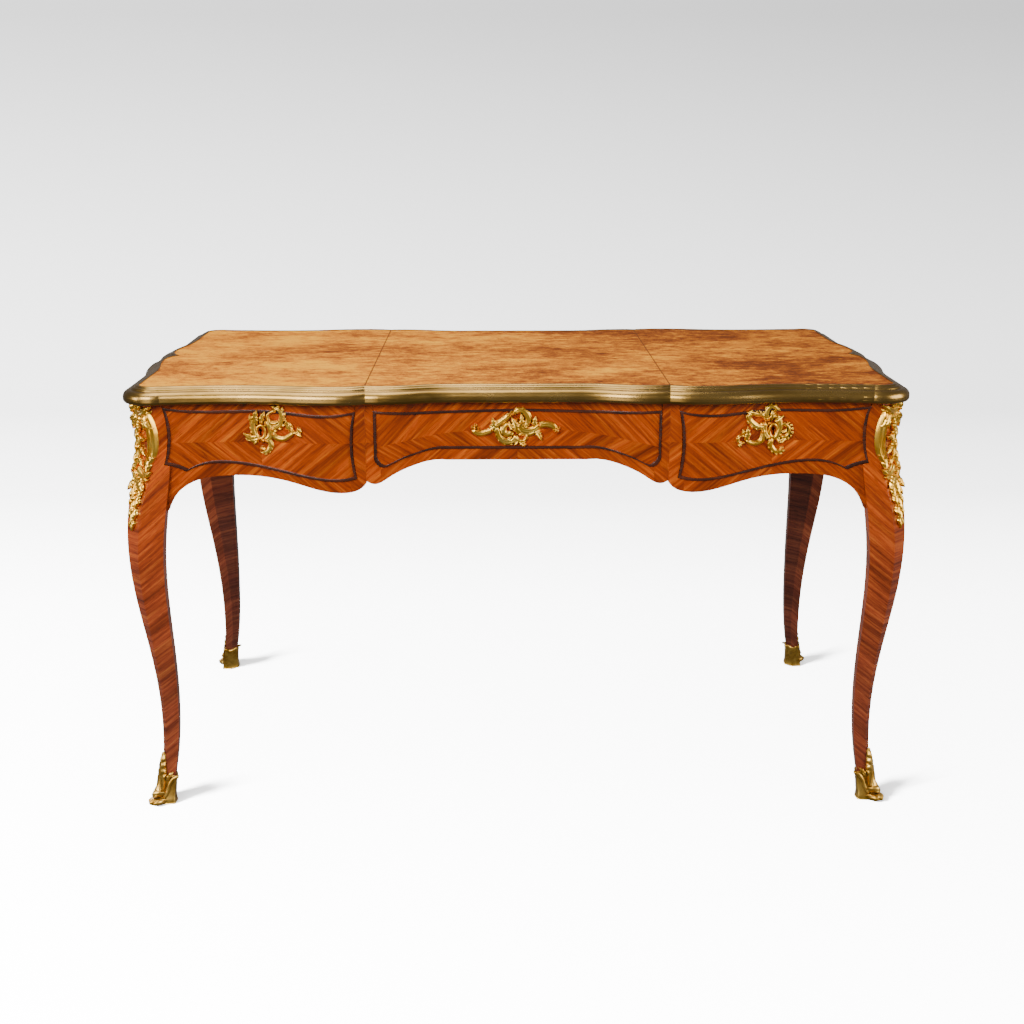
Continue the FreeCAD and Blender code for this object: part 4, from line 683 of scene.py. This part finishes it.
centre_mount = [
    *band(left_wing, (6, 8, 7, 8, 7), 7.5, 0.45), *band(low_turn, (5, 8, 9, 8, 5), 8, 0.5),
    *band(top_turn, (6, 8, 9, 8, 5), 8.5, 0.5), *band(right_wing, (6, 9, 9, 8, 8, 7), 8, 0.5),
    *fringe(top_turn, 1, 5, 5, 7), *fringe(low_turn, -1, 5, 5, 7), *fringe(left_wing[3:], 1, 4.5, 4, 6),
    *fringe(right_wing[4:], 1, 4, 4, 4),
    leaf([(-48, -4), (-40.5, 6), (-43, 20)], 14, 6.5, 4, 4),
    leaf([(-40, 1), (-35, 8), (-36, 15)], 9, 6, 3, 2),
    *band([(-14, 11), (-20.5, 4.5), (-23.5, -3.5), (-19, -9.5), (-11, -8), (-8, -12)],
          (5, 7, 7, 5), 8.5, 0.4),
    *band([(-1, 3), (5, -6.5), (17, -10), (27, -7), (34, -2)], (5, 6, 6, 4), 7, 0.3),
    leaf([(34, 2), (29, 10), (30.5, 22)], 13, 6.5, 4, 4),
    leaf([(31, -1), (35, -9), (41, -20)], 14, 6.5, 4, 3),
    *band([(1, -12), (6, -9), (13, -10), (15, -16), (9, -21), (2, -19)], 4.5, 7, 0.2),
    *band([(-6, -11), (-2, -18), (5, -22), (15, -22)], (5, 6, 6, 3), 7, 0.3),
    leaf([(4, -19), (8, -25), (12, -31)], 14, 6.5, 4, 2),
    leaf([(0, -18), (-2, -24), (-6, -28)], 9, 5, 3, 2),
    leaf([(0, -8), (-4, 6), (-10, 20)], 17, 8.5, 5, 2), leaf([(5, 0), (7, 12), (6, 26)], 13, 8, 4, 2),
    leaf([(-6, -2), (-12, 4), (-15, 13)], 10, 8, 3, 1), leaf([(10, 0), (14, 6), (13, 14)], 9, 7.5, 3, 1),
    leaf([(-28, 4), (-27, -4), (-24, -12)], 9, 6, 3, 1),
    leaf([(-15, -12), (-14, -17), (-18, -19)], 8, 6, 2, 1),
    bud(-9, 27, 4.6, 8.5), bud(-3, 15, 3.8, 8.5), bud(-13, 22, 3.4, 7), bud(7, 10, 3.6, 8.5),
    bud(-12, -14, 3, 8),
    bud(-75, 2, 4.6, 7), bud(-71, 6, 3.4, 6), bud(-67, 2, 3, 6), bud(66, -4, 5.0, 8), bud(69, 1, 3.8, 7),
    bud(62, -2, 3.4, 7), bud(12, -28, 3.6, 7), bud(39, -16, 3.6, 6), bud(36, 6, 4, 8.5),
    bud(-44, -2, 3.8, 8),
]
MOUNTS = {"left": (-DRAWER_X, left_mount), "centre": (0.0, centre_mount), "right": (DRAWER_X, right_mount)}
KEYHOLE_Z = 0.6845
print("drawings of", len(MOUNTS), "mounts")

# %% Lay the mounts on the fronts
front_faces = shape_of("left_drawer_front", "centre_drawer_front", "right_drawer_front")
PROBE_Z = 0.705         # clear of the keyholes


def front_y(x):
    """Where the upright front face stands at a place across."""
    return front_faces.ray_cast(Vector((x, -1, PROBE_Z)), Vector((0, 1, 0)))[0].y


def on_front(middle):
    return lambda across, up, lift: (middle + across * MM, front_y(middle + across * MM) - lift * MM,
                                     KEYHOLE_Z + up * MM)


for side, (middle, forms) in MOUNTS.items():
    cast(f"{side}_mount", laid(forms, on_front(middle)), gilt, f"{side}_drawer", f"{side}_drawer_mount")
back_forms = []
for middle, forms in MOUNTS.values():
    for flat, polygons in forms:
        moved = flat.copy()
        moved[:, 0] += middle / MM
        back_forms.append((moved, polygons))


def on_back(across, up, lift):
    x = across * MM
    return (x, -front_y(x) + lift * MM, KEYHOLE_Z + up * MM)


cast("back_mounts_cast", laid(back_forms, on_back), gilt, "frame", "back_mounts")

# %% [markdown]
# ## Chutes
# A long mount covers the canted corner at the top of each leg: a curled leaf under the top, a fluted scroll
# beside a pierced garland, and a fall of husks over the knee. It is drawn flat, with its drop below the top
# measured downwards, and rays shot at the corner along the diagonal wrap it onto the leg.

# %% Drawing of the chute
inner_scroll = [(19, 15), (23, 30), (25, 50), (25, 72), (23, 90), (17, 104), (6, 114)]
garland = [(-14, 44), (-15, 58), (-12, 70), (-14, 84), (-13, 96), (-18, 110), (-20, 122)]
chute = [
    bud(-23, 8, 9, 10), bud(-12, 6, 7, 9), bud(-27, 16, 5, 8), bud(-3, 8, 6, 8),
    leaf([(-18, 12), (0, 17), (14, 14), (31, 4)], 20, 8.5, 4, 7),
    *band([(-24, 19), (-4, 24), (12, 21), (28, 12)], (6, 8, 7, 4), 8.5, 0.3),
    leaf([(0, 24), (-14, 26), (-30, 34)], 18, 8.5, 4, 5),
    leaf([(2, 24), (15, 27), (31, 41)], 18, 8.5, 4, 5),
    leaf([(-4, 27), (-10, 38), (-9, 53)], 16, 8, 4, 3),
    leaf([(-14, 28), (-23, 36), (-25, 48)], 13, 7, 3, 3),
    leaf([(6, 28), (10, 37), (6, 47)], 12, 7, 3, 2),
    bud(-22, 27, 6, 9), bud(-10, 26, 6, 9.5), bud(2, 27, 6, 9.5), bud(13, 31, 5, 9),
    *fluted(inner_scroll, 15, 8), *fringe(inner_scroll[3:], -1, 5, 5, 4),
    leaf([(12, 94), (20, 103), (24, 114)], 14, 8, 3, 5), leaf([(16, 88), (24, 92), (31, 90)], 11, 7, 3, 4),
    scroll(garland, (6, 5, 6), 5.5),
    leaf([(-12, 46), (-19, 55), (-17, 68)], 14, 7.5, 3, 3),
    leaf([(-13, 58), (-3, 64), (10, 60)], 11, 7, 3, 2),
    leaf([(-12, 66), (-20, 75), (-18, 88)], 14, 7.5, 3, 3),
    leaf([(-13, 80), (-3, 84), (9, 90)], 11, 7, 3, 2),
    leaf([(-13, 86), (-21, 95), (-19, 108)], 14, 7.5, 3, 3),
    leaf([(-15, 98), (-5, 102), (4, 108)], 10, 7, 3, 2),
    bud(-13, 57, 4.6, 8.5), bud(-13, 78, 4.8, 8.5), bud(-15, 97, 4.6, 8.5),
    leaf([(-18, 106), (-25, 114), (-28, 125)], 12, 7, 3, 4),
    *band([(-10, 110), (0, 121), (12, 125), (25, 119)], (6, 9, 9, 5), 8.5, 0.4),
    leaf([(8, 124), (19, 121), (29, 115)], 14, 7, 3, 5),
    leaf([(10, 126), (19, 129), (27, 128)], 11, 7, 3, 4),
    *band([(-22, 119), (-12, 130), (0, 134), (12, 128)], (6, 9, 8, 5), 8.5, 0.4),
    bud(-9, 122, 5, 9), bud(-14, 133, 5, 8.5), bud(2, 128, 4, 9),
    leaf([(-6, 134), (7, 140), (21, 147)], 19, 8, 4, 5),
    leaf([(-8, 134), (-17, 141), (-22, 152)], 16, 8, 4, 4),
    leaf([(-5, 136), (-3, 149), (-1, 163)], 16, 8, 4, 3),
    leaf([(2, 144), (10, 153), (15, 162)], 13, 7, 3, 4),
    leaf([(-6, 146), (-12, 154), (-14, 163)], 12, 7, 3, 3),
    leaf([(-2, 158), (-9, 166), (-11, 177)], 13, 7, 3, 3),
    leaf([(0, 158), (8, 167), (9, 178)], 13, 7, 3, 3),
    bud(-1, 163, 5.4, 9), leaf([(0, 166), (-2, 177), (0, 189)], 13, 7.5, 3, 2),
    leaf([(0, 178), (-7, 187), (-7, 197)], 11, 6.5, 3, 3),
    leaf([(0, 178), (7, 187), (7, 198)], 11, 6.5, 3, 3),
    bud(0, 183, 4.6, 8), leaf([(0, 186), (0, 197), (0, 208)], 11, 6.5, 3, 2),
    leaf([(0, 198), (-4.5, 206), (-4, 214)], 8, 5.5, 2, 2),
    leaf([(0, 198), (4.5, 206), (4, 214)], 8, 5.5, 2, 2),
    bud(0, 203, 3.6, 7), leaf([(0, 203), (0, 212), (0, 220)], 8, 4.5, 2, 1),
]
CHUTE_TOP = 0.731
CHUTE_LENGTH = 0.225
CANT_SEARCH = range(-280, -160)     # millimetres along the cant, measured from the table's middle
CANT_FLAT = 0.4 * MM    # the cant is where the leg stands out furthest, to within this
print("chute of", len(chute), "forms")

# %% Lay the chutes on the legs
def leg_corner(place):
    """Search tree of a leg, with the directions out of its corner and along its cant."""
    y_word, x_word = place.split("_")
    x_sign, y_sign = (1 if x_word == "right" else -1), (1 if y_word == "back" else -1)
    out = Vector((x_sign, y_sign, 0)).normalized()
    along = Vector((-x_sign, y_sign, 0)).normalized()
    return shape_of("leg_" + place), out, along


def on_corner(place):
    tree, out, along = leg_corner(place)
    low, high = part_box("leg_" + place)
    far = max(abs(low.x), abs(high.x)) * math.sqrt(2)

    def reach(across, z):
        start = along * across + out * far + Vector((0, 0, z))
        return tree.ray_cast(start, -out)[0]

    # The middle of the cant at a few heights: where the leg stands out furthest along the diagonal
    heights = np.linspace(CHUTE_TOP - CHUTE_LENGTH, CHUTE_TOP, 10)
    middles = []
    for z in heights:
        tries = [(s * MM, reach(s * MM, z)) for s in CANT_SEARCH]
        tries = [(s, point.dot(out)) for s, point in tries if point]
        furthest = max(depth for s, depth in tries)
        middles.append(float(np.mean([s for s, depth in tries if depth > furthest - CANT_FLAT])))

    def lay(across, drop, lift):
        z = CHUTE_TOP - drop * MM
        middle = float(np.interp(z, heights, middles))
        ground = reach(middle + across * MM, min(z, CHUTE_TOP - 0.5 * MM)) or reach(middle, z)
        return Vector((ground.x, ground.y, z)) + out * (lift * MM)

    return lay


for place in CORNERS:
    cast(f"chute_cast_{place}", laid(chute, on_corner(place)), gilt, "frame", f"chute_{place}")

# %% [markdown]
# ## Sabots
# Each foot stands in a cast shoe: a thin shell that rises to a leaf on the outer corner, two branches that
# sweep down to the toe and leave a long slot between them, and a toe of two rolls. The shell follows the leg
# all round, so it is made by rays shot at the axis of the foot.

# %% Shoe on each foot
FOOT_LOW, FOOT_HIGH = (0.6345, 0.3226, 0.006), (0.6250, 0.3105, 0.092)     # ends of the foot's axis
FOOT_REACH = 0.1        # rays start this far out from the axis
FOOT_RADIUS = 0.012     # taken where a ray passes the foot
SOLE = 0.008            # rays are shot no lower than this
GIRTH = 20.0            # millimetres round the foot for each radian
shoe_relief = [
    leaf([(0, 28), (0, 60), (0, 95)], 24, 8, 6, 0),
    scroll([(0, 66, 0), (0, 50, 1), (0, 36, 3), (0, 25, 7), (0, 15, 12)], (7, 10, 12, 14, 12), 7, 0.3),
]
for s in (1, -1):
    shoe_relief += [
        scroll([(0, 90), (3 * s, 68), (6 * s, 48), (8 * s, 32), (4 * s, 18)], (3, 5, 6, 6), 7),
        scroll([(44 * s, 50), (32 * s, 46), (24 * s, 36), (19 * s, 22), (10 * s, 10)],
               (4, 8, 10, 10), 6, 0.3),
        leaf([(14 * s, 42), (20 * s, 50), (30 * s, 58)], 12, 4, 3, 1),
        *buds([(8 * s, 64), (10 * s, 52)], (2.4, 3.0), 4, 3),
    ]
toe_rolls = [
    scroll([(-11, 19, -4), (-6, 21, 5), (0, 21.5, 9), (6, 21, 5), (11, 19, -4)], (11, 13, 13, 13, 11), 7),
    scroll([(-13, 6, -6), (-8, 6.5, 9), (0, 6.5, 13), (8, 6.5, 9), (13, 6, -6)], (11, 13, 13, 13, 11), 8),
    bud(-8, 7, 6.2, 12, 9), bud(0, 7.2, 6.8, 13, 12), bud(8, 7, 6.2, 12, 9),
]


def foot_axis(z):
    """Where the axis of the right back foot runs at a height."""
    share = (z - FOOT_LOW[2]) / (FOOT_HIGH[2] - FOOT_LOW[2])
    return [a + (b - a) * share for a, b in zip(FOOT_LOW[:2], FOOT_HIGH[:2])]


def on_foot(place):
    tree, out, along = leg_corner(place)
    sign_x, sign_y = math.copysign(1, out.x), math.copysign(1, out.y)

    def lay(round_way, up, lift):
        z = max(up * MM, SOLE)
        x, y = foot_axis(z)
        turn = round_way / GIRTH
        way = out * math.cos(turn) + along * math.sin(turn)
        axis = Vector((x * sign_x, y * sign_y, z))
        hit = tree.ray_cast(axis + way * FOOT_REACH, -way)[0] or axis + way * FOOT_RADIUS
        return Vector((hit.x, hit.y, max(up, 0) * MM)) + way * (lift * MM)

    return lay


# Lengths of the shoe are in millimetres, and turns round it in radians
SHELL = 3.0             # relief starts this far out from the leg
RIM = 47                # height of the shoe round the back and the sides
RIM_LEAF, RIM_LEAF_TURN = 45, 0.42      # its further rise under the leaf, and how far round that goes
RIM_WAVE, RIM_WAVE_TURN = 4, 0.9        # its wave, and how far round that starts
SLOT_TURN, SLOT_UP = 0.62, 26           # place of the slots beside the toe
SLOT_DEPTH = 0.85       # share of the thickness that a slot takes away
SOLE_LAP = 6.0          # the shell turns in under the foot by this much


def shoe_shell():
    """Thin shell round the foot, as a flat form: round the foot, up, and thickness."""
    columns, rows = 64, 15
    turns = np.linspace(-np.pi, np.pi, columns, endpoint=False)
    leaf_rise = RIM_LEAF * np.exp(-(turns / RIM_LEAF_TURN) ** 2)
    wave = RIM_WAVE * np.cos(2 * turns) ** 2 * (np.abs(turns) > RIM_WAVE_TURN)
    rim = RIM + leaf_rise + wave
    points = []
    for r in range(rows):
        share = r / (rows - 1)
        for turn, top in zip(turns, rim):
            up = top * share
            thick = 4.2 - 1.6 * share + 1.4 * math.exp(-(up / 7) ** 2)
            slot = math.exp(-((abs(turn) - SLOT_TURN) / 0.17) ** 2 - ((up - SLOT_UP) / 11) ** 2)
            points.append((turn * GIRTH, up, thick * (1 - SLOT_DEPTH * slot)))
    points += [(turn * GIRTH, top, 0.0) for turn, top in zip(turns, rim)]
    points += [(turn * GIRTH, 0.0, -SOLE_LAP) for turn in turns]
    faces = grid_faces(rows + 1, columns, False, True)
    low = (rows + 1) * columns
    faces += [[c, (c + 1) % columns, low + (c + 1) % columns, low + c] for c in range(columns)]
    faces.append(list(range(low, low + columns)))
    return np.array(points), faces


def on_toe(place):
    tree, out, along = leg_corner(place)
    corner = on_foot(place)(0, 8, 0)
    return lambda across, up, lift: (Vector((corner.x, corner.y, max(up, 0) * MM)) + along * (across * MM)
                                     + out * (lift * MM))


raised = [(flat + (0, 0, SHELL), faces) for flat, faces in shoe_relief]
for place in CORNERS:
    solids = laid([shoe_shell()] + raised, on_foot(place)) + laid(toe_rolls, on_toe(place))
    cast(f"sabot_cast_{place}", solids, dull_gilt, "frame", f"sabot_{place}")

# %% [markdown]
# ## Studio
# The table stands on a pale sweep of paper that turns up behind it. A large soft light from the left front
# models the legs; a narrow one at the left draws a gleam on the corner, a broad one at the right fills the
# shadows, and one overhead lights the leather. A low one behind shows the back and leaves out the top,
# and a faint one on the floor gives the brass edge the gleam of pale paper. The paper has a lamp of its
# own, for which only the shoes cast shadows, so a small soft shadow lies beside each foot and the rest
# stays clean.

# %% Floor and backdrop
# Painted shade: the paper's colour runs from white at the front to grey up the wall
PAPER_SHADE_TONES = [(0.0, "#FAFAFA"), (0.32, "#E2E2E2"), (0.46, "#C4C4C4"), (0.62, "#8C8C8C"), (1.0, "#585858")]
PAPER_LENGTH = (-1.3, 5.0)      # painted shade: metres back and up over which the paper is painted greyer
PAPER_GLOW = 1.2                # painted light: the paper glows by this much of its own colour, in a shadow as well
PAPER_HALF, PAPER_FRONT = 9.0, -7.0
WALL_Y, WALL_TOP = 3.4, 6.0
BEND, BEND_STEPS = 1.6, 12      # radius of the sweep, and the faces in it


def sweep_of_paper():
    """Matt paper with painted shade from white at the front to grey at the top of the wall, glowing with its
    own colour.
    """
    profile = [(PAPER_FRONT, 0.0)]
    for k in range(BEND_STEPS + 1):
        turn = QUARTER_TURN * k / BEND_STEPS
        profile.append((WALL_Y - BEND + BEND * math.sin(turn), BEND - BEND * math.cos(turn)))
    profile.append((WALL_Y, WALL_TOP))
    points = [(x, y, z) for y, z in profile for x in (-PAPER_HALF, PAPER_HALF)]
    faces = [[2 * k, 2 * k + 1, 2 * k + 3, 2 * k + 2] for k in range(len(profile) - 1)]
    mesh = bpy.data.meshes.new("paper")
    mesh.from_pydata(points, [], faces)
    mesh.shade_smooth()
    material, tree = blank("matt_paper_painted_light")
    place = add(tree, "TexCoord")["Object"]
    parts = add(tree, "SeparateXYZ", {0: place})
    fibre = add(tree, "TexNoise", {"Vector": place, "Scale": 1 / (25 * MM), "Detail": 3})[0]
    back = add(tree, "Math", {0: fibre, 1: 0.02, 2: parts[1]}, operation="MULTIPLY_ADD")[0]
    far = add(tree, "Math", {0: back, 1: parts[2]}, operation="ADD")[0]
    share = add(tree, "MapRange", {"Value": far, "From Min": PAPER_LENGTH[0],
                                   "From Max": PAPER_LENGTH[1]})[0]
    colour = add(tree, "ValToRGB", {"Fac": share}, stops=PAPER_SHADE_TONES)[0]
    # Painted light: the paper glows with its own colour
    shader = add(tree, "BsdfPrincipled", {"Base Color": colour, "Roughness": 0.8, "Specular IOR Level": 0.1,
                                          "Emission Color": colour, "Emission Strength": PAPER_GLOW})
    add(tree, "OutputMaterial", {"Surface": shader[0]})
    mesh.materials.append(material)
    paper = bpy.data.objects.new("paper", mesh)
    bpy.data.collections.new("paper_only").objects.link(paper)
    bpy.context.scene.collection.objects.link(paper)
    paper.visible_diffuse = False
    paper.visible_glossy = False


sweep_of_paper()
print("paper laid")

# %% Lights and sky
def softbox(name, place, aim, width, height, power):
    """Rectangular lamp that faces its aim; sizes in metres, power in watts."""
    light = bpy.data.lights.new(name, "AREA")
    light.shape = "RECTANGLE"
    light.size = width
    light.size_y = height
    light.energy = power
    lamp = bpy.data.objects.new(name, light)
    lamp.location = place
    lamp.rotation_euler = (Vector(aim) - Vector(place)).to_track_quat("-Z", "Y").to_euler()
    bpy.context.scene.collection.objects.link(lamp)
    return lamp


softbox("key", (-1.7, -3.0, 2.5), (-0.2, 0, 0.6), 2.0, 1.8, 180)
softbox("fill", (3.4, -1.9, 1.7), (0.2, 0, 0.5), 2.8, 2.2, 160)
softbox("side", (-3.2, -1.7, 1.4), (-0.6, 0, 0.6), 0.7, 1.4, 45)
softbox("top", (-0.6, 0.2, 3.2), (0, 0, 0), 2.6, 1.8, 90)
# The rim lights the back of the frame; the glint is the pale floor as the brass edge mirrors it
rim = softbox("rim", (-2.2, 2.4, 0.55), (0, 0.2, 0.45), 1.6, 0.8, 60)
glint = softbox("glint", (-1.6, -3.4, 0.05), (-0.3, -0.35, 0.74), 1.8, 1.4, 18)
brass_edge = bpy.data.collections.new("brass_edge")
for name in EDGES:
    brass_edge.objects.link(nodes[name])
unlit = [nodes[name] for name in EDGES + LEATHERS] + [bpy.data.objects["paper"]]
under_frame = bpy.data.collections.new("under_frame")
for piece in bpy.data.objects:
    if piece.type == "MESH" and piece not in unlit:
        under_frame.objects.link(piece)
for lamp, lit in ((rim, under_frame), (glint, brass_edge)):
    lamp.visible_camera = False
    lamp.light_linking.receiver_collection = lit
paper_light = softbox("paper_light", (-9.0, -6.0, 6.0), (0.2, 0, 0), 3.2, 3.2, 34000)
paper_light.light_linking.receiver_collection = bpy.data.collections["paper_only"]
shoes = bpy.data.collections.new("shoes")
for place in CORNERS:
    shoes.objects.link(bpy.data.objects[f"sabot_cast_{place}"])
paper_light.light_linking.blocker_collection = shoes
world = bpy.data.worlds.new("studio")
world.use_nodes = True
world.node_tree.nodes.clear()
sky = world.node_tree
way = add(sky, "SeparateXYZ", {0: add(sky, "TexCoord")["Generated"]})
depth = add(sky, "MapRange", {"Value": way[1], "From Min": -0.9, "From Max": 0.3, "To Min": 0.24,
                              "To Max": 0.27})[0]
height = add(sky, "MapRange", {"Value": way[2], "From Min": -0.3, "From Max": 0.1, "To Min": 0.75})[0]
strength = add(sky, "Math", {0: depth, 1: height}, operation="MULTIPLY")[0]
glow = add(sky, "Background", {"Color": (0.95, 0.97, 1.0, 1.0), "Strength": strength})
add(sky, "OutputWorld", {"Surface": glow[0]})
bpy.context.scene.world = world
print("lights set")

# %% [markdown]
# ## Camera
# The photograph was taken from just above the table, a little left of its middle. Matching the seams of the
# leather and the four feet gave the place, the tilt and the focal length.

# %% Camera at the photograph's angle
FOCAL_PIXELS, FRAME_PIXELS = 1400, 1024
camera = bpy.data.objects.new("camera", bpy.data.cameras.new("camera"))
camera.data.sensor_width = 36
camera.data.lens = FOCAL_PIXELS / FRAME_PIXELS * camera.data.sensor_width
camera.location = (-0.041, -2.631, 1.192)
camera.rotation_euler = (math.radians(74.24), 0, math.radians(-0.78))
bpy.context.scene.collection.objects.link(camera)
bpy.context.scene.camera = camera
print("lens", round(camera.data.lens, 2), "mm")
